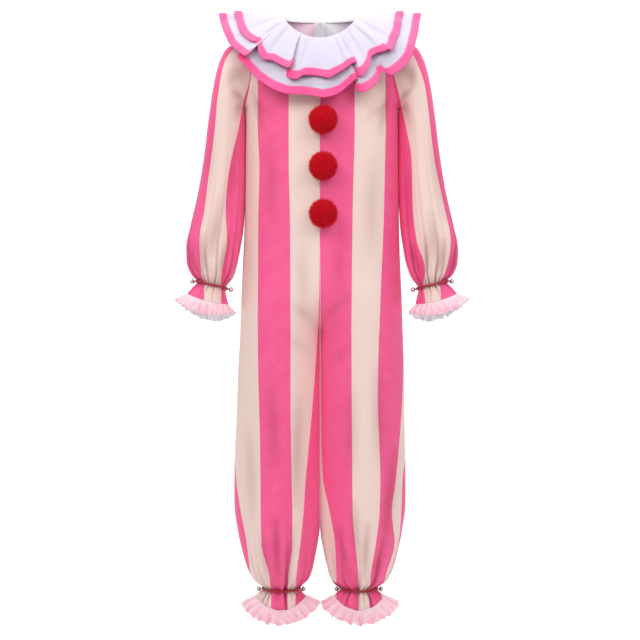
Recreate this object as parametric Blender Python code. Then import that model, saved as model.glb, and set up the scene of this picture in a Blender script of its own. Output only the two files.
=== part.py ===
"""One-piece clown costume in its worn form, hollow, with nobody inside it.

Metres, +Z up, and the front faces -Y. Left and right are the viewer's, so right is +X.
The origin is the middle of the neck, level with its two side points, where the wearer's
shoulders hold the costume up. Heights down the body are given as a drop below that point.

Each cloth piece is a thin wall. Its outer face is worked out from a section at each drop,
and its inner face is the same points moved in by the cloth's thickness.
"""
from math import cos, pi, radians, sin

import bmesh
import bpy
import numpy as np
from mathutils import Matrix, Vector

COLLECTION = "clown_costume"

# Thickness of each cloth, and the gaps between pieces
BODY_WALL = 0.0018
COLLAR_WALL = 0.0015
FRILL_WALL = 0.0013
BAND_WALL = 0.0010
TAPE_WALL = 0.0010
SEAM_GAP = 0.0003
RING_SEAM_GAP = 0.0005
LIE_GAP = 0.0003
SLEEVE_GAP = 0.0004

# The neck opening, an oval seen from above that dips at the front
NECK_HALF_WIDTH = 0.077
NECK_HALF_DEPTH = 0.055
NECK_FRONT_DROP = 0.054
NECK_BACK_RISE = 0.006

# The shoulder point, the armhole and the level where the chest becomes a plain section
SHOULDER_X = 0.1464
SHOULDER_DROP = 0.055
ARMHOLE_X = 0.1504
ARMHOLE_DROP = 0.120
ARMHOLE_HALF_HEIGHT = 0.065
ARMHOLE_HALF_DEPTH = 0.045
ARMHOLE_BOW = 0.011
SIDE_LEAN = 0.004
CHEST_DROP = 0.215

# Rows of the upper body run from the shoulder seam (0) to the chest (1). Their inner end
# follows the neck edge as far as NECK_ROW and then the centre line, and their outer end
# follows the armhole as far as HOLE_ROW and then the side seam.
NECK_ROW = 0.60
HOLE_ROW = 0.90
UPPER_ROWS = (0.0, 0.12, 0.24, 0.36, 0.48, 0.60, 0.75, 0.90)

# Gathers and folds, counted over one panel
GATHERS_PER_PANEL = 5
FOLDS_PER_PANEL = 2
LEG_PRESS = 1.4
SLEEVE_GATHERS = 8
SLEEVE_FOLDS = 3
FRILL_WAVES = 16

# How far inside the ends of a table a surface's direction is measured
INSIDE = 0.001

# Cords and bells
CORD_RADIUS = 0.0023
CORD_STAND_OFF = 0.0050
CORD_POINTS = 16
BELL_RADIUS = 0.0050
BELL_WAY = (0.93, -0.30, -0.20)

# Pompoms
POMPOM_RADIUS = 0.0275
POMPOM_CORE = 0.0190
POMPOM_LOCK_GAP = 0.0011
POMPOM_BACK = 0.60
POMPOM_X = 0.0060
POMPOM_DROPS = {"top": 0.2255, "middle": 0.3140, "bottom": 0.4040}

# The zip at the centre back
ZIP_END_DROP = 0.45
TAPE_WIDTH = 0.0120
TAPE_TOP_GAP = 0.0050
SLIDER_ROWS = (0.60, 0.75)
SLIDER_WIDTH, SLIDER_LENGTH, SLIDER_HEIGHT = 0.0084, 0.0110, 0.0022
FIN_WIDTH, FIN_LENGTH, FIN_TOP = 0.0020, 0.0080, 0.0064
PIVOT_HEIGHT = 0.0044
PIN_RADIUS, PIN_HOLE_RADIUS = 0.0006, 0.0010
PULL_WIDTH, PULL_LENGTH, PULL_THICKNESS = 0.0058, 0.0240, 0.0012
FORK_INSIDE, FORK_ABOVE, FORK_BELOW = 0.0026, 0.0012, 0.0062


def table(names, *rows):
    """Return one array for each named column of a short table."""
    return dict(zip(names.split(), np.array(rows, float).T))


# Body and leg sections. outer and inner are the X of the section's two edges on the right
# side; above the crotch the inner edge reaches across the centre plane, which cuts it off.
BODY = table(
    "drop   outer   inner    lean    depth   fold    gather  dip",
    (0.215, 0.1500, -0.1500, 0.0040, 0.1040, 0.0007, 0.0000, 0.000),
    (0.310, 0.1510, -0.1510, 0.0040, 0.1060, 0.0014, 0.0000, 0.000),
    (0.420, 0.1530, -0.1530, 0.0035, 0.1070, 0.0017, 0.0000, 0.000),
    (0.510, 0.1575, -0.1575, 0.0030, 0.1055, 0.0017, 0.0000, 0.000),
    (0.555, 0.1600, -0.0700, 0.0030, 0.1020, 0.0017, 0.0000, 0.000),
    (0.600, 0.1615, -0.0140, 0.0030, 0.0960, 0.0017, 0.0000, 0.000),
    (0.634, 0.1625, 0.0008, 0.0030, 0.0910, 0.0021, 0.0000, 0.000),
    (0.710, 0.1660, 0.0010, 0.0020, 0.0850, 0.0028, 0.0000, 0.000),
    (0.800, 0.1680, 0.0010, 0.0010, 0.0830, 0.0031, 0.0000, 0.000),
    (0.890, 0.1710, 0.0010, 0.0000, 0.0830, 0.0035, 0.0000, 0.000),
    (0.970, 0.1715, 0.0012, 0.0000, 0.0830, 0.0031, 0.0004, 0.000),
    (1.030, 0.1640, 0.0030, 0.0000, 0.0800, 0.0021, 0.0012, 0.000),
    (1.070, 0.1540, 0.0085, 0.0000, 0.0740, 0.0010, 0.0022, 0.000),
    (1.100, 0.1440, 0.0150, 0.0000, 0.0660, 0.0000, 0.0030, 0.000),
    (1.123, 0.1320, 0.0250, 0.0000, 0.0530, 0.0000, 0.0032, 0.000),
    (1.142, 0.1105, 0.0445, 0.0000, 0.0290, 0.0000, 0.0015, 0.000),
    (1.149, 0.1190, 0.0360, 0.0000, 0.0360, 0.0000, 0.0018, 0.008),
    (1.156, 0.1275, 0.0280, 0.0000, 0.0440, 0.0000, 0.0006, 0.020),
)
BODY_DROPS = (0.215, 0.310, 0.420, 0.510, 0.555, 0.600, 0.634, 0.710, 0.800, 0.890, 0.970)
ANKLE_DROPS = (1.030, 1.070, 1.100, 1.123, 1.142, 1.149, 1.156)
ANKLE_CORD_DROP = 1.142
ANKLE_HEM_DROP = 1.156
BODY_COLUMNS = 10
ANKLE_COLUMNS = 20

# A body panel is built as four nodes, so that collision follows its hollow closely. Each has
# the numbers of its first and last rows.
PANEL_PARTS = {"yoke": (0, 8), "trunk": (8, 14), "leg": (14, 19), "ankle": (19, 25)}

# Way in which each row of the upper front leaves its inner end and reaches its outer end
UPPER_WAYS = table(
    "row   start_x start_y end_x  end_y",
    (0.00, 0.070, 0.000, 0.070, 0.000),
    (0.30, 0.085, -0.045, 0.080, 0.050),
    (0.60, 0.170, 0.000, 0.105, 0.100),
    (0.80, 0.205, 0.000, 0.050, 0.140),
    (1.00, 0.242, 0.000, 0.000, 0.163),
)
# Way in which the centre line leaves the neck edge, as a share of its length to the chest
CENTRE_LEAVES = (0.0, -0.42, -0.90)
# Oval form that gives the direction of the upper body's thickness
FORM_CENTRE_DROP, FORM_HALF_WIDTH, FORM_HALF_DEPTH, FORM_HALF_HEIGHT = 0.20, 0.150, 0.105, 0.200

# Sleeve sections, from the armhole to the hem. o is the section's outer point and i its
# inner point, on the right side; bow pulls the front and back in towards the body.
SLEEVE = table(
    "ring  o_x     o_drop  i_x     i_drop  depth   bow     forward pitch  fold    gather  dip",
    (0.0, 0.1464, 0.0550, 0.1544, 0.1850, 0.0450, -0.011, 0.0000, 0.00, 0.0000, 0.0000, 0.000),
    (1.0, 0.1830, 0.0590, 0.1572, 0.1872, 0.0530, -0.005, 0.0000, 0.00, 0.0000, 0.0000, 0.000),
    (2.0, 0.2050, 0.0900, 0.1580, 0.1900, 0.0550, 0.0000, 0.0000, 0.00, 0.0010, 0.0000, 0.000),
    (3.0, 0.2180, 0.1400, 0.1585, 0.1960, 0.0530, 0.0000, 0.0000, 0.00, 0.0015, 0.0000, 0.000),
    (4.0, 0.2280, 0.2050, 0.1580, 0.2180, 0.0490, 0.0000, 0.0000, 0.00, 0.0015, 0.0000, 0.000),
    (5.0, 0.2370, 0.2750, 0.1580, 0.2780, 0.0480, 0.0000, 0.0000, 0.00, 0.0020, 0.0000, 0.000),
    (6.0, 0.2490, 0.3480, 0.1590, 0.3480, 0.0480, 0.0000, 0.0020, 2.00, 0.0025, 0.0000, 0.000),
    (7.0, 0.2640, 0.4180, 0.1605, 0.4150, 0.0500, 0.0000, 0.0070, 5.00, 0.0025, 0.0004, 0.000),
    (8.0, 0.2720, 0.4620, 0.1620, 0.4570, 0.0500, 0.0000, 0.0120, 7.00, 0.0020, 0.0010, 0.000),
    (9.0, 0.2690, 0.4950, 0.1670, 0.4900, 0.0480, 0.0000, 0.0160, 7.00, 0.0010, 0.0022, 0.000),
    (10.0, 0.2590, 0.5150, 0.1750, 0.5130, 0.0400, 0.0000, 0.0190, 7.00, 0.0000, 0.0028, 0.000),
    (11.0, 0.2460, 0.5265, 0.1910, 0.5395, 0.0240, 0.0000, 0.0220, 7.00, 0.0000, 0.0013, 0.000),
    (12.0, 0.2560, 0.5400, 0.1880, 0.5570, 0.0300, 0.0000, 0.0250, 7.00, 0.0000, 0.0015, 0.003),
    (13.0, 0.2670, 0.5540, 0.1840, 0.5760, 0.0370, 0.0000, 0.0280, 7.00, 0.0000, 0.0006, 0.008),
)
SLEEVE_COLUMNS = (14, 14, 16, 16, 16, 16, 16, 16, 32, 32, 32, 32, 32, 32)
WRIST_CORD_RING = 11.0
SLEEVE_HEM_RING = 13.0

# Frills: how far each row has gone from the hem to the frill's edge, and its wave
FRILL = table(
    "share  wave",
    (0.00, 0.0005),
    (0.45, 0.0022),
    (1.00, 0.0042),
)
ANKLE_FRILL_EDGE = dict(centre=0.0790, half_width=0.0770, half_depth=0.0680, drop=1.1740, dip=0.0250)
WRIST_FRILL_EDGE = dict(o_x=0.2890, o_drop=0.5670, i_x=0.1730, i_drop=0.5930, depth=0.0540,
                        forward=0.0330, pitch=7.0, dip=0.0200)

# Outer edges of the two collar layers. Each row is the crest or the hollow of one flute,
# from the left end at the centre back, round the front, to the right end.
COLLAR_LOWER = table(
    "x       y       z",
    (-0.020, 0.132, -0.120),
    (-0.038, 0.121, -0.110),
    (-0.070, 0.133, -0.118),
    (-0.096, 0.103, -0.086),
    (-0.130, 0.104, -0.094),
    (-0.148, 0.071, -0.056),
    (-0.174, 0.064, -0.050),
    (-0.202, 0.000, 0.004),
    (-0.190, -0.036, -0.036),
    (-0.172, -0.066, -0.074),
    (-0.140, -0.073, -0.092),
    (-0.138, -0.093, -0.124),
    (-0.108, -0.106, -0.150),
    (-0.067, -0.134, -0.178),
    (-0.028, -0.125, -0.176),
    (0.006, -0.142, -0.187),
    (0.034, -0.125, -0.175),
    (0.056, -0.110, -0.154),
    (0.082, -0.138, -0.176),
    (0.112, -0.100, -0.136),
    (0.136, -0.100, -0.138),
    (0.162, -0.078, -0.114),
    (0.180, -0.060, -0.088),
    (0.202, 0.000, 0.004),
    (0.172, 0.066, -0.052),
    (0.146, 0.072, -0.056),
    (0.128, 0.106, -0.096),
    (0.094, 0.104, -0.086),
    (0.068, 0.133, -0.118),
    (0.036, 0.121, -0.110),
    (0.020, 0.132, -0.120),
)
COLLAR_UPPER = table(
    "x       y       z",
    (-0.016, 0.111, -0.066),
    (-0.030, 0.104, -0.060),
    (-0.054, 0.112, -0.068),
    (-0.072, 0.090, -0.044),
    (-0.102, 0.089, -0.050),
    (-0.116, 0.059, -0.023),
    (-0.140, 0.054, -0.021),
    (-0.171, 0.000, 0.012),
    (-0.159, -0.045, -0.031),
    (-0.129, -0.067, -0.062),
    (-0.118, -0.086, -0.096),
    (-0.100, -0.089, -0.105),
    (-0.078, -0.107, -0.120),
    (-0.057, -0.103, -0.111),
    (-0.055, -0.125, -0.146),
    (-0.032, -0.118, -0.140),
    (-0.010, -0.118, -0.141),
    (0.018, -0.128, -0.147),
    (0.044, -0.113, -0.129),
    (0.058, -0.105, -0.110),
    (0.080, -0.125, -0.138),
    (0.098, -0.087, -0.099),
    (0.124, -0.088, -0.088),
    (0.144, -0.062, -0.064),
    (0.156, -0.044, -0.040),
    (0.167, 0.000, 0.012),
    (0.138, 0.056, -0.022),
    (0.114, 0.060, -0.024),
    (0.100, 0.090, -0.051),
    (0.070, 0.091, -0.045),
    (0.052, 0.112, -0.068),
    (0.028, 0.104, -0.060),
    (0.016, 0.111, -0.066),
)
COLLAR_SLIT_HALF = 0.0070
COLLAR_BAND_WIDTH = 0.016
COLLAR_MID_ROW = 0.42
COLLAR_RISE_LEAN = 0.5
COLLAR_BEND_AT = 0.45
# For each layer: how high it starts over the neck edge, and how far its middle is lifted
COLLAR_LAYERS = {
    "lower": dict(edge=COLLAR_LOWER, start=0.0032, lift=0.010),
    "upper": dict(edge=COLLAR_UPPER, start=0.0055, lift=0.012),
}
BINDING_BELOW, BINDING_ABOVE, BINDING_WALL = 0.0030, 0.0080, 0.0012

COLOURS = {
    "pink_stripe_cloth": ((1.0, 0.15, 0.35), 0.55, 0.0),
    "collar_cloth": ((0.80, 0.76, 0.86), 0.70, 0.0),
    "pink_ribbon": ((0.95, 0.10, 0.33), 0.50, 0.0),
    "pale_satin": ((0.95, 0.60, 0.70), 0.35, 0.0),
    "red_cord": ((0.42, 0.01, 0.03), 0.60, 0.0),
    "red_fur": ((0.50, 0.01, 0.02), 0.80, 0.0),
    "silver_metal": ((0.75, 0.75, 0.76), 0.25, 1.0),
    "white_tape": ((0.85, 0.85, 0.86), 0.75, 0.0),
}


def smooth(rows, column, at, key="drop"):
    """Read a table's column at any key by a cubic that passes its rows and never overshoots."""
    keys, values = rows[key], rows[column]
    gaps = np.diff(keys)
    slopes = np.diff(values) / gaps
    before, after = slopes[:-1], slopes[1:]
    same_way = before * after > 0
    total = np.where(same_way, before + after, 1.0)
    inner = np.where(same_way, 2 * before * after / total, 0.0)
    tangents = np.concatenate([slopes[:1], inner, slopes[-1:]])
    i = np.clip(np.searchsorted(keys, at, side="right") - 1, 0, len(keys) - 2)
    t = np.clip((at - keys[i]) / gaps[i], 0, 1)
    return (
        values[i] * (2 * t**3 - 3 * t**2 + 1)
        + tangents[i] * gaps[i] * (t**3 - 2 * t**2 + t)
        + values[i + 1] * (3 * t**2 - 2 * t**3)
        + tangents[i + 1] * gaps[i] * (t**3 - t**2)
    )


def stack(x, y, z):
    """Put three arrays of coordinates together as points."""
    return np.stack(np.broadcast_arrays(x, y, z), axis=-1)


def material(name):
    """Return the Principled material of one finish, made on first use."""
    found = bpy.data.materials.get(name)
    if found:
        return found
    colour, roughness, metallic = COLOURS[name]
    made = bpy.data.materials.new(name)
    made.use_nodes = True
    shader = made.node_tree.nodes["Principled BSDF"]
    shader.inputs["Base Color"].default_value = (*colour, 1.0)
    shader.inputs["Roughness"].default_value = roughness
    shader.inputs["Metallic"].default_value = metallic
    return made


def add_object(name, mesh, finish, parent=None):
    """Put a mesh in the model's collection as one named sub-part."""
    mesh.materials.clear()
    mesh.materials.append(material(finish))
    piece = bpy.data.objects.new(name, mesh)
    bpy.data.collections[COLLECTION].objects.link(piece)
    piece.parent = parent
    return piece


def strip(first, second):
    """Join two rows of point numbers, which may differ in count, by a strip of triangles."""
    faces, i, j = [], 0, 0
    last_i, last_j = len(first) - 1, len(second) - 1
    while i < last_i or j < last_j:
        first_next = (i + 1) / last_i if i < last_i else 2.0
        second_next = (j + 1) / last_j if j < last_j else 2.0
        if first_next <= second_next:
            faces.append((first[i], second[j], first[i + 1]))
            i += 1
        else:
            faces.append((first[i], second[j], second[j + 1]))
            j += 1
    return faces


def wall(name, outer, inner, finish, ring=False):
    """Make a closed cloth wall from the rows of its outer face and of its inner face."""
    rows, count = [], 0
    for points in outer + inner:
        numbers = list(range(count, count + len(points)))
        count += len(points)
        rows.append(numbers + numbers[:1] if ring else numbers)
    half = len(outer)
    faces = []
    for sheet in (rows[:half], rows[half:]):
        for above, below in zip(sheet, sheet[1:]):
            faces += strip(above, below)
    for end in (0, half - 1):
        faces += strip(rows[end], rows[end + half])
    if not ring:
        for side in (0, -1):
            faces += strip([row[side] for row in rows[:half]], [row[side] for row in rows[half:]])
    points = np.concatenate(outer + inner)
    mesh = bpy.data.meshes.new(name)
    mesh.from_pydata(points.tolist(), [], faces)
    shell = bmesh.new()
    shell.from_mesh(mesh)
    bmesh.ops.recalc_face_normals(shell, faces=shell.faces)
    shell.to_mesh(mesh)
    shell.free()
    return add_object(name, mesh, finish)


def outward(surface, u, v, flip):
    """Unit normals of a surface of two parameters, from small steps each way."""
    step = 1e-4
    along_u = surface(u + step, v) - surface(u - step, v)
    along_v = surface(u, v + step) - surface(u, v - step)
    normal = np.cross(along_u, along_v) * flip
    return normal / np.linalg.norm(normal, axis=-1, keepdims=True)


def keep_to_quarter(points, side, face):
    """Hold a panel's points on its own side of the centre plane and of the side seams."""
    kept = points.copy()
    kept[..., 0] = side * np.maximum(side * kept[..., 0], SEAM_GAP / 2)
    if face:
        kept[..., 1] = face * np.maximum(face * kept[..., 1], SEAM_GAP / 2)
    return kept


def leg_point(side, face, turn, drop):
    """Point of the body below the chest: an oval section between its inner and outer edge.

    turn is 0 at the centre seam or inseam and 1 at the side seam. The cloth stands proud at
    the inseam, so that the legs press on each other.
    """
    outer = smooth(BODY, "outer", drop) + side * smooth(BODY, "lean", drop)
    inner = smooth(BODY, "inner", drop)
    centre, half = (outer + inner) / 2, (outer - inner) / 2
    start = -np.arcsin(np.clip(centre / half, -1, 1))
    angle = start + turn * (pi / 2 - start)
    press = LEG_PRESS * np.maximum(-np.sin(angle), 0) ** 4
    ripple = smooth(BODY, "fold", drop) * (np.cos(2 * pi * FOLDS_PER_PANEL * turn) - 1 + press)
    ripple = ripple - smooth(BODY, "gather", drop) * np.cos(2 * pi * GATHERS_PER_PANEL * turn)
    x = side * (centre + (half + ripple) * np.sin(angle))
    y = face * (smooth(BODY, "depth", drop) + ripple) * np.cos(angle)
    return stack(x, y, -drop - smooth(BODY, "dip", drop) * np.cos(angle) ** 2)


def neck_point(turn):
    """Point of the neck edge: turn is an angle, 0 at the centre front and pi at the back."""
    front = np.maximum(np.cos(turn), 0) ** 1.5 * NECK_FRONT_DROP
    back = np.maximum(-np.cos(turn), 0) * NECK_BACK_RISE
    return stack(NECK_HALF_WIDTH * np.sin(turn), -NECK_HALF_DEPTH * np.cos(turn), back - front)


def armhole_point(side, turn):
    """Point of the armhole's front half: turn is 0 at the shoulder and pi under the arm."""
    x = ARMHOLE_X - (ARMHOLE_X - SHOULDER_X) * np.cos(turn) - ARMHOLE_BOW * np.sin(turn) ** 2
    return stack(
        side * (x + side * SIDE_LEAN),
        -ARMHOLE_HALF_DEPTH * np.sin(turn),
        -ARMHOLE_DROP + ARMHOLE_HALF_HEIGHT * np.cos(turn),
    )


def hermite(start, start_way, end, end_way, t):
    """Cubic curve between two points with the given directions at its ends."""
    return (
        start * (2 * t**3 - 3 * t**2 + 1)
        + start_way * (t**3 - 2 * t**2 + t)
        + end * (3 * t**2 - 2 * t**3)
        + end_way * (t**3 - t**2)
    )


def upper_point(side, face, u, row):
    """Point of the upper body: each row is a curve from the neck or centre to the armhole."""
    flip = np.array((side, 1 if face < 0 else -1, 1))
    chest_centre = leg_point(side, face, 0.0, np.float64(CHEST_DROP)) * flip
    chest_side = leg_point(side, face, 1.0, np.float64(CHEST_DROP)) * flip
    to_neck = np.clip(row / NECK_ROW, 0, 1)
    neck = neck_point(pi / 2 * (1 - to_neck) if face < 0 else pi / 2 * (1 + to_neck))
    neck = neck * (1, 1 if face < 0 else -1, 1)
    down = np.clip((row - NECK_ROW) / (1 - NECK_ROW), 0, 1)[..., None]
    neck_end = neck_point(np.float64(0 if face < 0 else pi)) * (1, 1 if face < 0 else -1, 1)
    length = np.linalg.norm(chest_centre - neck_end)
    centre = hermite(neck_end, np.array(CENTRE_LEAVES) * length,
                     chest_centre, np.array((0, 0, -1.0)) * length, down)
    inner = np.where((row > NECK_ROW)[..., None], centre, neck)
    hole = armhole_point(side, pi * np.clip(row / HOLE_ROW, 0, 1)) * (side, 1, 1)
    under = np.clip((row - HOLE_ROW) / (1 - HOLE_ROW), 0, 1)[..., None]
    outer = hole + (chest_side - hole) * under
    chord = (outer - inner)[..., 2]
    start, end = (
        stack(*(smooth(UPPER_WAYS, f"{end}_{axis}", row, "row") for axis in "xy"), chord)
        for end in ("start", "end")
    )
    return hermite(inner, start, outer, end, np.asarray(u)[..., None]) * flip


def panel_rows(side, face):
    """Rows of the outer and the inner face of one of the four body panels."""
    outer, inner = [], []
    u = np.linspace(0, 1, BODY_COLUMNS + 1)
    for row in UPPER_ROWS:
        points = keep_to_quarter(upper_point(side, face, u, row + 0 * u), side, face)
        form = (points + (0, 0, FORM_CENTRE_DROP)) / (
            FORM_HALF_WIDTH**2, FORM_HALF_DEPTH**2, FORM_HALF_HEIGHT**2)
        normals = form / np.linalg.norm(form, axis=-1, keepdims=True)
        outer.append(points)
        inner.append(keep_to_quarter(points - normals * BODY_WALL, side, face))

    def surface(turn, drop):
        return leg_point(side, face, turn, drop)

    for drop in BODY_DROPS + ANKLE_DROPS:
        columns = ANKLE_COLUMNS if drop in ANKLE_DROPS else BODY_COLUMNS
        u = np.linspace(0, 1, columns + 1)
        points = keep_to_quarter(surface(u, drop + 0 * u), side, face)
        low = np.clip(drop, BODY_DROPS[0] + INSIDE, ANKLE_HEM_DROP - INSIDE)
        normals = outward(surface, u, low + 0 * u, side * face)
        outer.append(points)
        inner.append(keep_to_quarter(points - normals * BODY_WALL, side, face))
    return outer, inner


def make_panel(name, outer, inner):
    """The nodes of a body panel. Each starts just below the row that ends the one above."""
    for part, (first, last) in PANEL_PARTS.items():
        faces = []
        for rows in (outer, inner):
            kept = rows[first:last + 1]
            if first:
                down = kept[1] - kept[0]
                kept[0] = kept[0] + down * SEAM_GAP / np.linalg.norm(down, axis=-1, keepdims=True)
            faces.append(kept)
        wall(f"{name}_{part}", *faces, "pink_stripe_cloth")


def sleeve_point(side, turn, ring, grow=0.0):
    """Point of a sleeve's outer face: turn is 0 at its outer edge and pi / 2 at its front."""
    def read(column):
        return smooth(SLEEVE, column, ring, key="ring")

    outer_x, inner_x = read("o_x"), read("i_x")
    outer_z, inner_z = -read("o_drop"), -read("i_drop")
    ripple = grow - read("fold") * np.cos(SLEEVE_FOLDS * turn)
    ripple = ripple - read("gather") * np.cos(SLEEVE_GATHERS * turn)
    half_x, half_z = (outer_x - inner_x) / 2, (outer_z - inner_z) / 2
    scale = 1 + ripple / np.hypot(half_x, half_z)
    depth = read("depth") + ripple
    pitch = np.radians(read("pitch"))
    x = (outer_x + inner_x) / 2 + half_x * scale * np.cos(turn) + read("bow") * np.sin(turn) ** 2
    y = -read("forward") - depth * np.cos(pitch) * np.sin(turn)
    z = (outer_z + inner_z) / 2 + half_z * scale * np.cos(turn) + depth * np.sin(pitch) * np.sin(turn)
    z = z - read("dip") * np.sin(turn) ** 2
    return stack(side * (x + side * SIDE_LEAN), y, z)


def sleeve_rows(side):
    """Rows of a sleeve's two faces, each a closed ring; the first stands off the armhole."""
    def surface(turn, ring):
        return sleeve_point(side, turn, ring)

    outer, inner = [], []
    half = [pi * min(row / HOLE_ROW, 1) for row in UPPER_ROWS]
    armhole = np.array(half + [2 * pi - turn for turn in half[-2:0:-1]])
    for ring, columns in zip(SLEEVE["ring"], SLEEVE_COLUMNS):
        turn = np.arange(columns) / columns * 2 * pi if ring else armhole
        points = surface(turn, ring + 0 * turn)
        inside = np.clip(ring, 0.05, SLEEVE_HEM_RING - 0.05)
        normals = outward(surface, turn, inside + 0 * turn, side)
        if ring == 0:
            points[:, 0] += side * SLEEVE_GAP
        outer.append(points)
        inner.append(points - normals * BODY_WALL)
    return outer, inner


def ring_frill_rows(side, seam, edge, hem_columns, hem_gathers, hem_wave, centre_guard):
    """Rows of a gathered frill between the seam ring and its free edge, as functions of turn.

    The first row has the hem's own points and gathers, so that the seam stays even.
    """
    def surface(turn, share):
        way = edge(turn) - seam(turn)
        gap = RING_SEAM_GAP / np.linalg.norm(way, axis=-1, keepdims=True)
        return seam(turn) + way * (gap + share[..., None] * (1 - gap))

    outer, inner = [], []
    for share, wave in zip(FRILL["share"], FRILL["wave"]):
        columns, waves = (hem_columns, hem_gathers) if share == 0 else (2 * FRILL_WAVES, FRILL_WAVES)
        turn = np.arange(columns) / columns * 2 * pi
        at = np.full(len(turn), share)
        normals, points = outward(surface, turn, at, 1), surface(turn, at)
        away = np.sign(np.sum(normals * (points - points.mean(axis=0)), axis=-1, keepdims=True))
        normals = normals * away
        height = -hem_wave if share == 0 else wave
        points = points + normals * (height * np.cos(waves * turn))[:, None]
        if centre_guard:
            points = keep_to_quarter(points, side, 0)
        inside = points - normals * FRILL_WALL
        outer.append(points)
        inner.append(keep_to_quarter(inside, side, 0) if centre_guard else inside)
    return outer, inner


def ankle_frill_rows(side):
    """Rows of an ankle frill: turn is 0 at the front and pi / 2 at the outer side."""
    def ring(turn, centre, half_width, half_depth, drop, dip):
        return stack(
            side * (centre + half_width * np.sin(turn)),
            -half_depth * np.cos(turn),
            -drop - dip * np.cos(turn) ** 2,
        )

    outer, inner = BODY["outer"][-1], BODY["inner"][-1]

    def seam(turn):
        return ring(turn, (outer + inner) / 2, (outer - inner) / 2, BODY["depth"][-1],
                    ANKLE_HEM_DROP, BODY["dip"][-1])

    def edge(turn):
        return ring(turn, **ANKLE_FRILL_EDGE)

    return ring_frill_rows(side, seam, edge, 2 * ANKLE_COLUMNS, 2 * GATHERS_PER_PANEL,
                           BODY["gather"][-1], centre_guard=True)


def wrist_frill_rows(side):
    """Rows of a wrist frill, which carries the sleeve's hem on and flares out."""
    def ring(turn, o_x, o_drop, i_x, i_drop, depth, forward, pitch, dip):
        lean = sin(radians(pitch))
        return stack(
            side * ((o_x + i_x) / 2 + (o_x - i_x) / 2 * np.cos(turn) + side * SIDE_LEAN),
            -forward - depth * cos(radians(pitch)) * np.sin(turn),
            -(o_drop + i_drop) / 2 - (o_drop - i_drop) / 2 * np.cos(turn)
            + depth * lean * np.sin(turn) - dip * np.sin(turn) ** 2,
        )

    last = {name: column[-1] for name, column in SLEEVE.items()}
    hem = {name: last[name] for name in WRIST_FRILL_EDGE}

    def seam(turn):
        return ring(turn, **hem)

    def edge(turn):
        return ring(turn, **WRIST_FRILL_EDGE)

    return ring_frill_rows(side, seam, edge, SLEEVE_COLUMNS[-1], SLEEVE_GATHERS,
                           SLEEVE["gather"][-1], centre_guard=False)


def collar_point(layer, at, out):
    """Point of a collar layer's upper face. at runs along the rows of its edge table, and out
    from 0 at the neck to 1 at the edge; each line between them is a quadratic curve."""
    shape = COLLAR_LAYERS[layer]
    rows = dict(shape["edge"])
    azimuth = np.unwrap(np.arctan2(rows["x"], -rows["y"]))
    rows["row"] = np.arange(len(azimuth), dtype=float)
    rows["azimuth"] = azimuth
    edge = stack(*(smooth(rows, axis, at, key="row") for axis in "xyz"))
    turn = smooth(rows, "azimuth", at, key="row")
    slit = COLLAR_SLIT_HALF / NECK_HALF_WIDTH
    start = neck_point(turn * (pi - slit) / azimuth[-1])
    start = start + stack(0 * at, -COLLAR_RISE_LEAN * np.cos(turn), 1 + 0 * at) * shape["start"]
    start = start + stack(np.sin(turn), -np.cos(turn), 0 * at) * BINDING_WALL
    middle = start + (edge - start) * COLLAR_BEND_AT + stack(0 * at, 0 * at, shape["lift"] + 0 * at)
    out = np.asarray(out, float)[..., None]
    return start * (1 - out) ** 2 + middle * 2 * out * (1 - out) + edge * out**2


def collar_rows(layer):
    """Rows of a collar layer's two faces, with a row where the edge band begins."""
    count = len(COLLAR_LAYERS[layer]["edge"]["x"])
    at = np.linspace(0, count - 1, 2 * count - 1)

    def surface(u, v):
        return collar_point(layer, np.clip(u, 0, count - 1), np.clip(v, 0, 1))

    reach = np.linalg.norm(surface(at, 1 + 0 * at) - surface(at, 0 * at), axis=-1)
    band = 1 - COLLAR_BAND_WIDTH / reach.mean()
    top, under, normals = [], [], []
    for out in (0, COLLAR_MID_ROW, band, 1):
        points = surface(at, out + 0 * at)
        inside = np.clip(at, INSIDE, count - 1 - INSIDE)
        normal = outward(surface, inside, np.clip(out, INSIDE, 1 - INSIDE) + 0 * at, -1)
        top.append(points)
        under.append(points - normal * COLLAR_WALL)
        normals.append(normal)
    return top, under, normals


def binding_rows():
    """Rows of the narrow binding that stands round the inside of the neck edge, with a point
    at each of the panels' own points and its ends at the slit."""
    quarter = [pi / 2 * (1 - row / NECK_ROW) for row in UPPER_ROWS if row <= NECK_ROW]
    half = np.array([pi - turn for turn in quarter[::-1]] + quarter[1:])
    turn = np.concatenate([-half, half[-2::-1]])
    edge = neck_point(turn)
    away = stack(np.sin(turn), -np.cos(turn), 0 * turn)
    face = edge - away * (BODY_WALL + 2 * LIE_GAP)
    cut = COLLAR_SLIT_HALF / np.abs(face[1, 0])
    for end, beside in ((0, 1), (-1, -2)):
        face[end] = face[end] + (face[beside] - face[end]) * cut
    heights = (BINDING_ABOVE, -BINDING_BELOW)
    outer = [face + np.array((0, 0, height)) for height in heights]
    return outer, [row - away * BINDING_WALL for row in outer]


def tape_rows(side):
    """Rows of one zip tape, made from the back panel's inner face and moved in from it."""
    outer, inner = (rows[UPPER_ROWS.index(NECK_ROW):] for rows in panel_rows(side, 1))
    face, back = [], []
    for skin, lining in zip(outer, inner):
        if -lining[0, 2] > ZIP_END_DROP:
            break
        across = lining[1] - lining[0]
        edge = lining[0] + across * np.array(((0,), (TAPE_WIDTH / np.linalg.norm(across),)))
        way = (lining[0] - skin[0]) / np.linalg.norm(lining[0] - skin[0])
        face.append(edge + way * RING_SEAM_GAP)
        back.append(edge + way * (RING_SEAM_GAP + TAPE_WALL))
    for rows in (face, back):
        down = rows[1] - rows[0]
        rows[0] = rows[0] + down * TAPE_TOP_GAP / np.linalg.norm(down[0])
    return face, back


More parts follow.
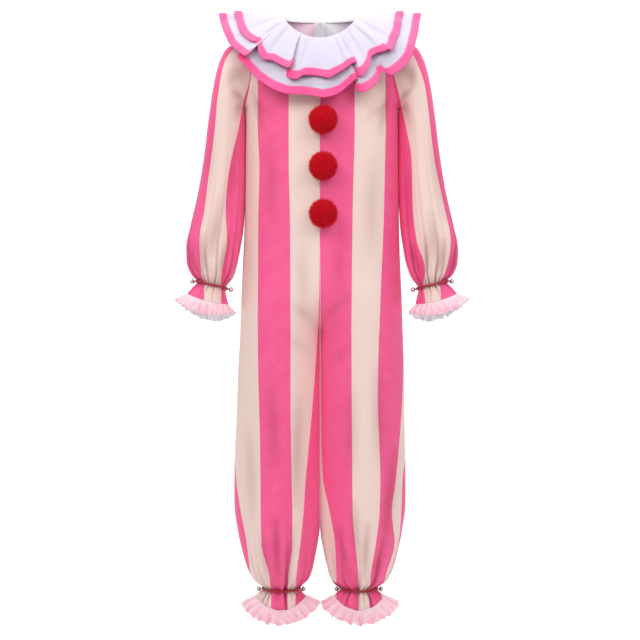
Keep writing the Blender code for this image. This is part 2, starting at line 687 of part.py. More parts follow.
def make_cord(name, path):
    """A gathering cord tied round a sleeve or a leg: a closed tube along its ring."""
    curve = bpy.data.curves.new(name, "CURVE")
    curve.dimensions = "3D"
    curve.bevel_depth = CORD_RADIUS
    curve.bevel_resolution = 2
    spline = curve.splines.new("POLY")
    spline.points.add(len(path) - 1)
    spline.points.foreach_set("co", np.column_stack([path, np.ones(len(path))]).ravel())
    spline.use_cyclic_u = True
    curve.materials.append(material("red_cord"))
    cord = bpy.data.objects.new(name, curve)
    bpy.data.collections[COLLECTION].objects.link(cord)
    return cord


def make_bell(name, centre):
    """A small round jingle bell."""
    shape = bmesh.new()
    bmesh.ops.create_uvsphere(shape, u_segments=8, v_segments=6, radius=BELL_RADIUS)
    mesh = bpy.data.meshes.new(name)
    shape.to_mesh(mesh)
    shape.free()
    mesh.shade_smooth()
    bell = add_object(name, mesh, "silver_metal")
    bell.location = centre
    return bell


def make_cords_and_bells():
    """The four cords, each ring standing just outside the gathered cloth, and their bells."""
    turn = np.arange(CORD_POINTS) / CORD_POINTS * 2 * pi
    chord = 1 / cos(pi / CORD_POINTS)
    outer, inner, depth, crest = (
        float(smooth(BODY, column, np.float64(ANKLE_CORD_DROP)))
        for column in ("outer", "inner", "depth", "gather")
    )
    off = crest + CORD_STAND_OFF
    at_wrist = WRIST_CORD_RING + 0 * turn
    gathers = smooth(SLEEVE, "gather", at_wrist, key="ring") * (1 + np.cos(SLEEVE_GATHERS * turn))
    for side, word in ((-1, "left"), (1, "right")):
        ankle = stack(
            side * ((outer + inner) / 2 + ((outer - inner) / 2 + off) * chord * np.sin(turn)),
            -(depth + off) * chord * np.cos(turn),
            -ANKLE_CORD_DROP,
        )
        wrist = sleeve_point(side, turn, at_wrist, gathers + CORD_STAND_OFF)
        middle = wrist.mean(axis=0)
        for place, ring in (("ankle", ankle), ("wrist", middle + (wrist - middle) * chord)):
            make_cord(f"cord_{place}_{word}", ring)
            for end, out in (("outer", side), ("inner", -side)):
                point = ring[np.argmax(out * ring[:, 0])]
                way = np.array(BELL_WAY) * (out, 1, 1)
                reach = (CORD_RADIUS + BELL_RADIUS + LIE_GAP) / np.linalg.norm(way)
                make_bell(f"bell_{place}_{word}_{end}", point + way * reach)


def make_pompom(name, drop):
    """A pompom: a faceted core with a three-sided lock of fur on each facet clear of the cloth."""
    share = POMPOM_X / (BODY["outer"][0] + SIDE_LEAN) * 2 / pi
    skin = leg_point(1, -1, share, np.float64(max(drop, CHEST_DROP)))
    skin[2] = -drop
    centre = Vector(skin) + Vector((0, -(POMPOM_CORE + LIE_GAP), 0))
    ball = bmesh.new()
    bmesh.ops.create_icosphere(ball, subdivisions=2, radius=POMPOM_CORE)
    facets = [facet for facet in ball.faces if facet.normal.y < POMPOM_BACK]
    bmesh.ops.inset_individual(ball, faces=facets, thickness=POMPOM_LOCK_GAP)
    bmesh.ops.poke(ball, faces=facets, offset=POMPOM_RADIUS - POMPOM_CORE)
    bmesh.ops.recalc_face_normals(ball, faces=ball.faces)
    mesh = bpy.data.meshes.new(name)
    ball.to_mesh(mesh)
    ball.free()
    pompom = add_object(name, mesh, "red_fur")
    pompom.location = centre
    return pompom


def box(name, low, high, finish, parent=None):
    """A box between two corners, from the cube primitive."""
    shape = bmesh.new()
    bmesh.ops.create_cube(shape, size=1.0)
    low, high = Vector(low), Vector(high)
    bmesh.ops.scale(shape, vec=high - low, verts=shape.verts)
    bmesh.ops.translate(shape, vec=(high + low) / 2, verts=shape.verts)
    mesh = bpy.data.meshes.new(name)
    shape.to_mesh(mesh)
    shape.free()
    return add_object(name, mesh, finish, parent)


def cross_pin(name, radius, length, at, parent):
    """A cylinder along X, used for the pull's pin and for the hole that it turns in."""
    shape = bmesh.new()
    bmesh.ops.create_cone(shape, cap_ends=True, segments=12, radius1=radius, radius2=radius, depth=length)
    bmesh.ops.rotate(shape, matrix=Matrix.Rotation(pi / 2, 3, "Y"), verts=shape.verts)
    bmesh.ops.translate(shape, vec=at, verts=shape.verts)
    mesh = bpy.data.meshes.new(name)
    shape.to_mesh(mesh)
    shape.free()
    return add_object(name, mesh, "silver_metal", parent)


def combine(piece, tool, how):
    """Join a tool to a piece or cut it out of it, and put the tool with the cutters."""
    change = piece.modifiers.new(f"{how.lower()}_{tool.name}", "BOOLEAN")
    change.operation = how
    change.object = tool
    for home in list(tool.users_collection):
        home.objects.unlink(tool)
    bpy.data.collections[COLLECTION + "_cutters"].objects.link(tool)
    tool.hide_render = True
    tool.display_type = "WIRE"


def make_zip():
    """The two tapes, the slider on the centre back seam, and the pull tab on its pin."""
    for side, word in ((-1, "left"), (1, "right")):
        wall(f"zip_tape_{word}", *tape_rows(side), "white_tape")

    above, below = (upper_point(1, 1, 0.0, np.float64(row)) * (0, 1, 1) for row in SLIDER_ROWS)
    point = (above + below) / 2
    up = Vector(above - below).normalized()
    normal = Vector((0, up.z, -up.y))
    seat = bpy.data.objects.new("zip_seat", None)
    bpy.data.collections[COLLECTION].objects.link(seat)
    turned = Matrix((Vector((-1, 0, 0)), up, normal)).transposed().to_4x4()
    seat.matrix_world = Matrix.Translation(Vector(point) + normal * RING_SEAM_GAP) @ turned

    width, length = SLIDER_WIDTH / 2, SLIDER_LENGTH / 2
    slider = box("zip_slider", (-width, -length, 0), (width, length, SLIDER_HEIGHT), "silver_metal", seat)
    fin = box("slider_fin", (-FIN_WIDTH / 2, -FIN_LENGTH / 2, SLIDER_HEIGHT / 2),
              (FIN_WIDTH / 2, FIN_LENGTH / 2, FIN_TOP), "silver_metal", seat)
    hole = cross_pin("slider_hole", PIN_HOLE_RADIUS, SLIDER_WIDTH, (0, 0, PIVOT_HEIGHT), seat)
    combine(slider, fin, "UNION")
    combine(slider, hole, "DIFFERENCE")

    hinge = bpy.data.objects.new("zip_pull_hinge", None)
    bpy.data.collections[COLLECTION].objects.link(hinge)
    hinge.parent = seat
    hinge.location = (0, 0, PIVOT_HEIGHT)
    half, thick = PULL_WIDTH / 2, PULL_THICKNESS / 2
    pull = box("zip_pull", (-half, -PULL_LENGTH, -thick), (half, FORK_ABOVE, thick), "silver_metal", hinge)
    slot = box("pull_slot", (-FORK_INSIDE / 2, -FORK_BELOW, -PULL_WIDTH),
               (FORK_INSIDE / 2, PULL_WIDTH, PULL_WIDTH), "silver_metal", hinge)
    pin = cross_pin("pull_pin", PIN_RADIUS * 0.98, PULL_WIDTH * 0.9, (0, 0, 0), hinge)
    combine(pull, slot, "DIFFERENCE")
    combine(pull, pin, "UNION")


def main():
    """Clear the scene and build every sub-part."""
    for piece in list(bpy.data.objects):
        bpy.data.objects.remove(piece)
    for name in (COLLECTION, COLLECTION + "_cutters"):
        bpy.context.scene.collection.children.link(bpy.data.collections.new(name))
    for side, word in ((-1, "left"), (1, "right")):
        make_panel(f"front_{word}", *panel_rows(side, -1))
        make_panel(f"back_{word}", *panel_rows(side, 1))
        wall(f"sleeve_{word}", *sleeve_rows(side), "pink_stripe_cloth", ring=True)
        wall(f"frill_wrist_{word}", *wrist_frill_rows(side), "pale_satin", ring=True)
        wall(f"frill_ankle_{word}", *ankle_frill_rows(side), "pale_satin", ring=True)
    for layer in COLLAR_LAYERS:
        top, under, normals = collar_rows(layer)
        wall(f"collar_{layer}", top, under, "collar_cloth")
        raised = [row + normal * LIE_GAP for row, normal in zip(top[2:], normals[2:])]
        face = [row + normal * BAND_WALL for row, normal in zip(raised, normals[2:])]
        wall(f"collar_{layer}_band", face, raised, "pink_ribbon")
    wall("neck_binding", *binding_rows(), "white_tape")
    make_cords_and_bells()
    for word, drop in POMPOM_DROPS.items():
        make_pompom(f"pompom_{word}", drop)
    make_zip()


main()
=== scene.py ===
"""Visual model of a one-piece clown costume in its worn form, hollow, with nobody inside it.

Metres, +Z up, and the front faces -Y. Left and right are the viewer's, so right is +X. Heights
down the body are drops below the origin, which is the middle of the neck opening.
"""
from math import atan, pi

import bpy
import numpy as np
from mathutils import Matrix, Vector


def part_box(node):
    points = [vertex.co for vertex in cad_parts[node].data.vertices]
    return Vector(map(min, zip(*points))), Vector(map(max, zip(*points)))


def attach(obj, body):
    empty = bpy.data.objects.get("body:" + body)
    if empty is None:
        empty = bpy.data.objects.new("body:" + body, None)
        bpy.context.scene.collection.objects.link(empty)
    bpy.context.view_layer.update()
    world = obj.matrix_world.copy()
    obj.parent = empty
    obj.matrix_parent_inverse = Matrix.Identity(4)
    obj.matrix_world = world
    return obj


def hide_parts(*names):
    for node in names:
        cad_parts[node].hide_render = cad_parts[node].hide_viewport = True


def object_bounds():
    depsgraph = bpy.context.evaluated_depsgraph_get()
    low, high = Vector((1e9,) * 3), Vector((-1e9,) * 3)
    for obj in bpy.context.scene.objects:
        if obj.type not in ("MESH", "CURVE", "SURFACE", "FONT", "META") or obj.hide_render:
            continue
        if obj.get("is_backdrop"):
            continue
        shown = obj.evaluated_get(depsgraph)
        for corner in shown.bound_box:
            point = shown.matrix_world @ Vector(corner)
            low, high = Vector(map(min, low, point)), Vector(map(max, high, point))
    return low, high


bl_info = {
    "name": "Clown costume",
    "version": (1, 0, 0),
    "blender": (4, 5, 0),
    "location": "3D View > Sidebar > Costume",
    "description": "Builds a striped clown costume with its collar, pompoms, frills, cords and bells",
    "category": "Add Mesh",
}

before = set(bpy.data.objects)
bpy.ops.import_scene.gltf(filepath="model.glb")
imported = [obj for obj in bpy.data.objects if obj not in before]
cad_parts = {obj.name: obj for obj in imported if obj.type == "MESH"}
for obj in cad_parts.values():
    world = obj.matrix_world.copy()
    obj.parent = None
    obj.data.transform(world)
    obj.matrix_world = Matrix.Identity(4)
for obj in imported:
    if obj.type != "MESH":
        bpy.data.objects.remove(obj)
GARMENT = "garment"

# Distance of the camera, and the size of a pixel in the plane of the seams
CAMERA_DISTANCE = 2.4
CAMERA_HEIGHT = -0.606
PIXEL = 0.002
FRAME_PIXELS = 640

# The solids of a body panel, which it replaces together
PANEL_PARTS = ("yoke", "trunk", "leg", "ankle")

# Width of a printed stripe, and the widest that it gets where the cut runs aslant
STRIPE = 0.062
WIDEST_STRIPE = 0.100
# Where the sleeve's outer stripe ends behind the arm, as a turn
SLEEVE_BACK_EDGE = -0.45
# Wall of the body cloth, and how far pieces stand apart at their seams
CLOTH = 0.0012
SEAM_GAP = 0.0003
SLEEVE_GAP = 0.0004
RING_SEAM_GAP = 0.0005

# The neck opening, an oval seen from above that dips at the front
NECK_HALF_WIDTH = 0.077
NECK_HALF_DEPTH = 0.055
NECK_FRONT_DROP = 0.0575
NECK_BACK_RISE = 0.006

# The shoulder point, the armhole and the level where the chest becomes a plain section
SHOULDER_X = 0.1464
ARMHOLE_X = 0.1504
ARMHOLE_DROP = 0.120
ARMHOLE_HALF_HEIGHT = 0.065
ARMHOLE_HALF_DEPTH = 0.045
ARMHOLE_BOW = 0.011
SIDE_LEAN = 0.004
CHEST_DROP = 0.215
# Shares of the yoke's rows that end at the neck and at the armhole, and the way in which the
# centre line leaves the neck
NECK_ROW = 0.60
HOLE_ROW = 0.90
CENTRE_LEAVES = (0.0, -0.42, -0.90)

# Gathers and folds, counted over one panel, sleeve or frill
GATHERS_PER_PANEL = 5
FOLDS_PER_PANEL = 2
LEG_PRESS = 1.4
SLEEVE_GATHERS = 8
SLEEVE_FOLDS = 3
FRILL_WAVES = 23
FINE_WAVES = 47
EDGE_WAVES = 34
# Cloth to a radian or a ring of a sleeve, where its creases are laid, and to a ring at the wrist
SLEEVE_RADIUS = 0.045
WRIST_RING_GAP = 0.017

# Points across a panel, round a sleeve, round a frill and down it, and where a panel's rows
# close up for its gathers
PANEL_COLUMNS, SLEEVE_COLUMNS = 97, 132
FRILL_COLUMNS, FRILL_ROWS = 420, 20
FINE_DROP = 1.02
# How far each kind of pleat stands off the frill, leans along it, or waves its edge
PLEAT, FINE_PLEAT, PLEAT_CURL, EDGE_WAVE = 0.0030, 0.0011, 0.0022, 0.0012

# Depth of the valleys at a cord, and how far they run above and below it
CINCH_DEPTH = 0.0085
CINCH_ABOVE = 0.048
CINCH_BELOW = 0.022
# How dark the painted shade of a fold as deep as a cord's valleys gets
FOLD_SHADE = 1.7

# Levels of the cords and the leg's hem, and how a cord and its bells stand against the cloth
ANKLE_CORD_DROP = 1.142
ANKLE_HEM_DROP = 1.156
WRIST_CORD_RING = 11.0
CORD_STAND_OFF = 0.0026
BELL_IN = 0.0030
BELL_DROP = 0.0035
# The costume hangs this far clear of the floor
FLOOR_BELOW = 0.100

# Walls of the thinner cloths
COLLAR_CLOTH = 0.0008
FRILL_CLOTH = 0.0006
TAPE_CLOTH = 0.0006
# How far a ribbon lies above the collar, below it, and how far its fold hangs
RIBBON_OVER, RIBBON_UNDER, RIBBON_TIP = 0.0007, 0.0016, 0.0004
# Lengths of one turn of a cord's strands, and of its UV map
CORD_TURN, CORD_UNIT = 0.016, 0.004
# A pompom's fibres, and the flat back where it rests on the cloth
FIBRE_RADIUS = 0.0005
POMPOM_SINK, POMPOM_BACK = 0.0190, 0.0186
# The zip's tapes, its teeth, and the stitches
TAPE_EDGES = (0.0004, 0.0120)
TAPE_FOOT_DROP = 0.45
TOOTH_STEP, TOOTH_SHIFT = 0.0014, 0.0007
TOOTH_HALF = (0.0016, 0.0004, 0.0005)
STITCH_STEP, STITCH_LENGTH = 0.004, 0.003
STITCH_OVER, STITCH_HALF_WIDTH, STITCH_UNDER = 0.00035, 0.00030, 0.00010

# One thread of the knit is 0.45 mm, drawn at 1.1 mm so that it shows
KNIT_THREAD = 0.0011

SIDES = ((-1, "left"), (1, "right"))
KNIT = ("printed_satin_knit", "printed_knit_wrong_side")
SATIN = ("crinkled_satin", "satin_wrong_side")


def table(names, parts, rows):
    """Return one array for each named column of rows of whole parts of a metre, turn or ring."""
    values = np.array([row.split() for row in rows.split(",")], float)
    return dict(zip(names.split(), values.T / parts))


# Body and leg sections on the right side, from the inner to the outer edge
BODY = table("drop outer inner lean depth fold gather dip", 10000, """
    2150 1520 -1520 40 1040 7 0 0, 3100 1530 -1530 40 1060 14 0 0, 4200 1545 -1545 35 1070 17 0 0,
    5100 1580 -1580 30 1055 17 0 0, 5550 1600 -700 30 1020 17 0 0, 6000 1615 -140 30 960 17 0 0,
    6340 1625 8 30 910 21 0 0, 7100 1660 10 20 850 28 0 0, 8000 1680 10 10 830 31 0 0,
    8900 1710 10 0 830 35 0 0, 9700 1715 12 0 830 31 4 0, 10300 1640 30 0 800 21 12 0,
    10700 1540 85 0 740 10 22 0, 11000 1440 150 0 660 0 30 0, 11230 1320 250 0 530 0 32 0,
    11420 1105 445 0 290 0 15 0, 11490 1190 360 0 360 0 18 80, 11560 1275 280 0 440 0 6 200""")
# Ways in which the yoke's rows leave the neck or the centre, and reach the armhole
UPPER_WAYS = table("row start_x start_y end_x end_y", 1000, """
    0 70 0 70 0, 300 85 -45 80 50, 600 170 0 105 100, 800 205 0 50 140, 1000 242 0 0 163""")
# Rings of the right sleeve from the armhole to the hem, each from an outer and an inner point
SLEEVE = table("ring o_x o_drop i_x i_drop depth bow forward pitch fold gather dip", 10000, """
    0 1464 550 1544 1850 450 -110 0 0 0 0 0, 10000 1830 590 1549 1872 530 -50 0 0 0 0 0,
    20000 2050 900 1545 1900 550 0 0 0 10 0 0, 30000 2180 1400 1538 1960 530 0 0 0 15 0 0,
    40000 2280 2050 1532 2180 490 0 0 0 15 0 0, 50000 2370 2750 1538 2780 480 0 0 0 20 0 0,
    60000 2490 3480 1550 3480 480 0 20 20000 25 0 0, 70000 2640 4180 1575 4150 500 0 70 50000 25 4 0,
    80000 2720 4620 1620 4570 500 0 120 70000 20 10 0, 90000 2690 4950 1670 4900 480 0 160 70000 10 22 0,
    100000 2590 5170 1750 5160 400 0 190 70000 0 28 0,
    110000 2460 5300 1910 5430 240 0 220 70000 0 13 30,
    120000 2560 5420 1880 5590 300 0 250 70000 0 15 30,
    130000 2670 5540 1840 5760 370 0 280 70000 0 6 80""")

# Where the stripes change over the front of each side, as distances from the middle. Pink
# and cream take turns from "zero" outwards, and the last columns run past the side seam.
STRIPES = {
    -1: table("drop zero one two three four", 10000, """
        2360 0 602 1217 1840 2460, 3100 0 600 1180 1820 2440, 4210 0 576 1205 1820 2440,
        6060 29 568 1205 1820 2440, 6840 79 570 1203 1800 2400, 7620 138 571 1184 1780 2400,
        8400 206 562 1163 1730 2300, 9190 284 547 1153 1665 2200, 9800 322 531 1151 1565 2100,
        10430 389 536 1136 1445 2000, 11080 469 613 984 1380 1900, 11560 490 640 960 1340 1900"""),
    1: table("drop zero one two three four", 10000, """
        2360 0 669 1281 1900 2500, 4210 0 624 1236 1850 2450, 6060 13 608 1148 1700 2300,
        6840 16 612 1126 1665 2200, 7630 18 615 1117 1627 2000, 8410 24 621 1147 1568 1800,
        9190 60 627 1171 1491 1631, 9810 187 635 1153 1406 1605, 10430 293 687 1079 1473 1560,
        11080 322 749 986 1304 1400, 11560 340 760 970 1220 1320"""),
}
# The same on the back, the same way for both sides
BACK_STRIPES = table("drop zero one two three four", 10000, """
    2360 0 620 1240 1860 2480, 6060 10 600 1210 1830 2400, 7620 80 590 1170 1720 2300,
    9190 180 590 1150 1600 2100, 10430 330 620 1100 1450 1900, 11560 400 690 970 1330 1800""")
# Where a sleeve changes from pink to cream and back, as distances from the middle
SLEEVE_STRIPES = {
    -1: table("drop one two", 10000, """
        690 1705 1330, 960 1862 1340, 1300 1946 1375, 1550 1985 1440, 1750 2015 1515, 1960 2035 1550,
        2220 2056 1595, 2980 2150 1760, 3400 2205 1825, 3870 2254 1852, 4490 2352 1823, 5120 2323 1921,
        5350 2274 1950, 5670 2254 1940"""),
    1: table("drop one two", 10000, """
        810 1823 1370, 1040 1911 1400, 1470 2058 1509, 1710 2097 1580, 2040 2140 1654, 2300 2170 1705,
        2920 2254 1803, 3870 2450 1823, 4490 2558 1891, 5120 2450 2058, 5350 2352 2030, 5670 2352 2058"""),
}

# Free edges of the frills, as the ovals of ankle_ring and wrist_ring
ANKLE_FRILL_EDGE = dict(centre=0.0790, half_width=0.0770, half_depth=0.0680, drop=1.1740, dip=0.0250)
WRIST_FRILL_EDGE = dict(o_x=0.2890, o_drop=0.5670, i_x=0.1730, i_drop=0.5930, depth=0.0540,
                        forward=0.0330, pitch=7.0, dip=0.0200)

# Outer edges of the two collar layers, from the left end at the centre back, round the front,
# to the right end. Where x turns back, the cloth is folded over itself.
COLLAR_LOWER = table("x y z", 1000, """
    -20 132 -120, -38 121 -110, -70 133 -118, -96 103 -86, -130 104 -94, -148 71 -56, -174 64 -50,
    -196 30 -10, -202 0 8, -197 -18 -15, -191 -36 -34, -183 -52 -53, -175 -64 -69, -158 -80 -86,
    -144 -93 -97, -134 -88 -86, -142 -70 -80, -156 -64 -87, -159 -70 -95, -150 -84 -109, -138 -93 -123,
    -122 -103 -141, -107 -112 -154, -89 -124 -167, -66 -133 -177, -47 -129 -178, -28 -126 -178,
    -13 -135 -182, 2 -142 -186, 11 -142 -186, 34 -132 -177, 55 -122 -159, 67 -124 -149, 74 -116 -152,
    70 -112 -164, 73 -126 -173, 86 -138 -174, 100 -130 -164, 112 -112 -148, 115 -98 -134, 123 -96 -128,
    131 -102 -135, 140 -106 -136, 159 -98 -121, 175 -86 -101, 182 -74 -81, 187 -58 -61, 192 -42 -42,
    197 -20 -15, 202 0 8, 194 30 -12, 172 66 -52, 146 72 -56, 128 106 -96, 94 104 -86, 68 133 -118,
    36 121 -110, 20 132 -120""")
COLLAR_UPPER = table("x y z", 1000, """
    -16 111 -66, -30 104 -60, -54 112 -68, -72 90 -44, -102 89 -50, -116 59 -23, -140 54 -21, -162 26 2,
    -171 0 12, -166 -18 -9, -159 -40 -33, -149 -54 -50, -134 -68 -63, -124 -72 -66, -120 -78 -76,
    -118 -88 -89, -108 -96 -104, -94 -97 -106, -77 -108 -117, -61 -118 -125, -53 -114 -117, -58 -98 -119,
    -67 -104 -135, -61 -116 -143, -51 -124 -148, -42 -124 -147, -32 -120 -140, -13 -120 -140,
    4 -126 -144, 17 -129 -146, 27 -126 -141, 46 -117 -128, 57 -114 -119, 67 -112 -114, 74 -106 -120,
    70 -104 -130, 71 -116 -141, 78 -128 -143, 85 -126 -138, 95 -112 -119, 98 -96 -101, 108 -90 -92,
    123 -92 -88, 132 -88 -83, 139 -86 -84, 143 -78 -75, 146 -68 -63, 155 -50 -43, 159 -32 -21,
    162 -16 -6, 167 0 12, 160 28 0, 138 56 -22, 114 60 -24, 100 90 -51, 70 91 -45, 52 112 -68,
    28 104 -60, 16 111 -66""")
# The slit at the centre back, the ribbon, how each layer leaves the neck and bends, and its
# creases: the row that each runs out to, its half width in rows and its depth
COLLAR_SLIT_HALF = 0.0070
COLLAR_BAND_WIDTH = 0.016
COLLAR_RISE_LEAN = 0.5
COLLAR_BEND_AT = 0.45
COLLAR_CREASE = 1.5
COLLAR_LAYERS = {
    "lower": dict(edge=COLLAR_LOWER, start=0.0032, lift=0.008, creases=table("row wide deep", 10000, """
        30000 6000 30, 60000 6000 24, 115000 5000 16, 200000 6000 16, 245000 6000 20, 300000 5000 18,
        370000 5000 16, 430000 5000 16, 505000 6000 28, 540000 6000 30""")),
    "upper": dict(edge=COLLAR_UPPER, start=0.0055, lift=0.010, creases=table("row wide deep", 10000, """
        30000 6000 30, 60000 6000 26, 106000 5000 20, 132000 5000 18, 164000 5000 22, 190000 5000 16,
        256000 6000 22, 286000 7000 12, 310000 4500 22, 326000 4000 26, 356000 4000 24, 386000 5000 26,
        414000 5000 20, 456000 5000 20, 520000 6000 28, 560000 6000 30""")),
}
# Wall of the neck binding, which the layers start outside
BINDING_WALL = 0.0012

# Creases laid on the body's front and back: the ends of each as x and drop, its half
# width and its depth
FRONT_CREASES = table("x0 d0 x1 d1 width depth", 10000, """
    -1330 1500 -1120 2350 80 20, -1280 1750 -900 2150 60 12, 1360 1500 1180 2400 80 22,
    1300 1850 860 2220 60 12, -980 2600 -920 4200 160 16, 1040 3000 980 4700 160 14,
    -360 4700 -300 5900 130 12, 400 4400 360 5600 140 12, 120 6000 560 5600 100 14,
    -100 6120 -520 5780 100 16, -240 6680 -600 6400 100 10, 220 6900 600 6550 100 10,
    -940 7200 -880 9000 140 18, -400 7600 -460 9600 120 20, -1400 8200 -1320 9900 120 14,
    600 7400 580 9000 130 14, 1120 7000 1160 8800 140 16, 1460 8600 1280 10400 110 26,
    640 9600 720 10700 90 20, 920 10000 860 11100 70 26, -860 9900 -820 11100 80 30,
    -520 10100 -620 11150 70 24, -1160 10200 -1000 11200 80 20, 1240 10400 1040 11200 80 24,
    340 10100 560 11150 80 22""")
BACK_CREASES = table("x0 d0 x1 d1 width depth", 10000, """
    -1280 1600 -1000 2500 90 20, 1300 1500 1080 2360 80 22, -700 2700 -620 4500 160 16,
    780 2500 700 4100 150 18, -240 5000 -500 6000 120 18, 200 5200 580 6120 120 14,
    -1100 5600 -960 7000 140 14, 1060 5400 980 7200 140 16, -600 7200 -700 9300 130 18,
    520 7400 640 9000 120 16, 1200 7800 1280 9800 130 20, -1240 8000 -1300 9600 120 16,
    -920 9800 -840 11100 80 28, -500 10200 -600 11150 70 22, -1220 10300 -1020 11200 80 22,
    820 9900 780 11100 80 28, 1120 10100 980 11180 70 22, 400 10200 580 11160 80 20""")
# The same for a sleeve, whose places are a turn and a ring
SLEEVE_CREASES = {
    -1: table("t0 r0 t1 r1 width depth", 10000, """
        5000 3000 8000 16000 100 18, 16000 2000 15500 24000 120 22, 25500 6000 19000 26000 100 24,
        27500 16000 22000 38000 100 18, 23000 46000 20500 66000 120 22, 9000 40000 10500 62000 130 14,
        17000 64000 16200 88000 90 22, 12500 76000 13600 100000 70 24, 23000 78000 20500 100000 80 22,
        6200 79000 9000 100000 80 22, -15000 4000 -14000 26000 120 20, -25000 8000 -19000 30000 110 22,
        -11000 50000 -12000 76000 130 18, -19000 66000 -17000 96000 90 24,
        -8000 76000 -10500 100000 80 22, -25000 78000 -22000 100000 80 20"""),
    1: table("t0 r0 t1 r1 width depth", 10000, """
        6000 4000 8600 18000 100 20, 14500 2000 16000 22000 110 26, 25000 5000 20000 22000 90 26,
        27000 18000 21000 42000 110 20, 23600 50000 25000 74000 120 20, 10000 44000 9200 68000 130 16,
        15200 68000 16000 90000 90 20, 12000 79000 13200 100000 70 26, 19000 77000 18400 100000 70 22,
        25500 80000 23000 100000 80 24, 5500 80000 8000 100000 80 20, -16000 4000 -15200 28000 120 22,
        -24000 7000 -20000 27000 100 20, -9500 48000 -11500 70000 130 18,
        -20500 62000 -18000 94000 100 22, -12500 78000 -13600 100000 80 24,
        -6000 79000 -8500 100000 80 20"""),
}


def hermite(start, start_way, end, end_way, t):
    """Cubic curve between two points with the given directions at its ends."""
    return (
        start * (2 * t**3 - 3 * t**2 + 1)
        + start_way * (t**3 - 2 * t**2 + t)
        + end * (3 * t**2 - 2 * t**3)
        + end_way * (t**3 - t**2)
    )


def smooth(rows, column, at, key="drop"):
    """Read a table's column at any key by a cubic that passes its rows and never overshoots."""
    keys, values = rows[key], rows[column]
    gaps = np.diff(keys)
    slopes = np.diff(values) / gaps
    before, after = slopes[:-1], slopes[1:]
    same_way = before * after > 0
    total = np.where(same_way, before + after, 1.0)
    inner = np.where(same_way, 2 * before * after / total, 0.0)
    tangents = np.concatenate([slopes[:1], inner, slopes[-1:]])
    i = np.clip(np.searchsorted(keys, at, side="right") - 1, 0, len(keys) - 2)
    t = np.clip((at - keys[i]) / gaps[i], 0, 1)
    return hermite(values[i], tangents[i] * gaps[i], values[i + 1], tangents[i + 1] * gaps[i], t)


def stack(x, y, z):
    """Put three arrays of coordinates together as points."""
    return np.stack(np.broadcast_arrays(x, y, z), axis=-1)


def unit(vectors):
    """Vectors scaled to length one."""
    return vectors / np.maximum(np.linalg.norm(vectors, axis=-1, keepdims=True), 1e-12)


def grid_normals(points, wrap=False):
    """Unit normals of a grid of points: the cross product of its two differences."""
    if wrap:
        padded = np.concatenate([points[:, -1:], points, points[:, :1]], axis=1)
        across = padded[:, 2:] - padded[:, :-2]
    else:
        across = np.gradient(points, axis=1)
    return unit(np.cross(np.gradient(points, axis=0), across))


def lengths(points, axis):
    """Distance walked along an axis of a grid of points, from its first line."""
    steps = np.linalg.norm(np.diff(points, axis=axis), axis=-1)
    walked = np.cumsum(steps, axis=axis)
    return np.insert(walked, 0, 0.0, axis=axis)


# Meshes


def add_piece(name, points, faces, finishes, uv=None, smooth_shade=True):
    """Make a mesh object from points and faces, with one UV pair for each face corner."""
    mesh = bpy.data.meshes.new(name)
    mesh.from_pydata(np.asarray(points, float).reshape(-1, 3), [], faces)
    if uv is not None:
        layer = mesh.uv_layers.new(name="cloth")
        layer.data.foreach_set("uv", np.asarray(uv, np.float32).ravel())
    for finish in finishes:
        mesh.materials.append(material(finish))
    if smooth_shade:
        mesh.shade_smooth()
    mesh.validate()
    piece = bpy.data.objects.new(name, mesh)
    bpy.context.scene.collection.objects.link(piece)
    return piece


def grid_faces(rows, columns, wrap=False, flip=False):
    """Corner numbers of a grid's four-sided faces, closed across its columns if wrap."""
    i, j = np.meshgrid(np.arange(rows - 1), np.arange(columns if wrap else columns - 1), indexing="ij")
    first, second = i * columns + j, i * columns + (j + 1) % columns
    corners = np.stack([first, second, second + columns, first + columns], axis=-1).reshape(-1, 4)
    return corners[:, ::-1] if flip else corners


def grid_piece(name, points, finishes, uv=None, wrap=False, flip=False, wall=None, fold=None):
    """Make a sheet from a grid of points, with a wall under it where its thickness is given.

    finishes names the outer face's material and, where it differs, the wrong side's. uv has
    one more column than the points where the grid is wrapped, so that a pattern can change at
    the seam. fold is the depth of each point in its fold, from 0 to 1.
    """
    rows, columns = points.shape[:2]
    corner_uv = None
    if uv is not None:
        corner_uv = uv.reshape(-1, 2)[grid_faces(rows, uv.shape[1], flip=flip).ravel()]
    piece = add_piece(name, points, grid_faces(rows, columns, wrap, flip), finishes, corner_uv)
    # The fold attribute darkens the colour in the folds as painted shade
    if fold is not None:
        layer = piece.data.attributes.new("fold", "FLOAT", "POINT")
        layer.data.foreach_set("value", np.clip(fold, 0, 1).astype(np.float32).ravel())
    if wall:
        inner = piece.modifiers.new("wall", "SOLIDIFY")
        inner.thickness, inner.offset, inner.use_even_offset = wall, -1.0, False
        inner.material_offset = len(finishes) - 1
    return piece


def tube(path, radius, sides, twist=0.0, strands=0):
    """Grid of a round tube along a closed path, in a frame that keeps one side towards +Z.

    With strands, the radius dips between them: R (0.84 + 0.16 |cos(n (angle - twist) / 2)|).
    """
    ahead = unit(np.roll(path, -1, axis=0) - np.roll(path, 1, axis=0))
    side = unit(np.cross(ahead, stack(0.02, 0.05, 1.0)))
    up = np.cross(side, ahead)
    walked = lengths(path[:, None], 0)[:, :1]
    around = np.arange(sides) / sides * 2 * pi
    size = radius * np.ones((len(path), sides))
    if strands:
        size = radius * (0.84 + 0.16 * np.abs(np.cos(strands / 2 * (around - twist * walked))))
    ring = side[:, None] * np.cos(around)[:, None] + up[:, None] * np.sin(around)[:, None]
    return path[:, None] + ring * size[..., None], *np.broadcast_arrays(walked, around)


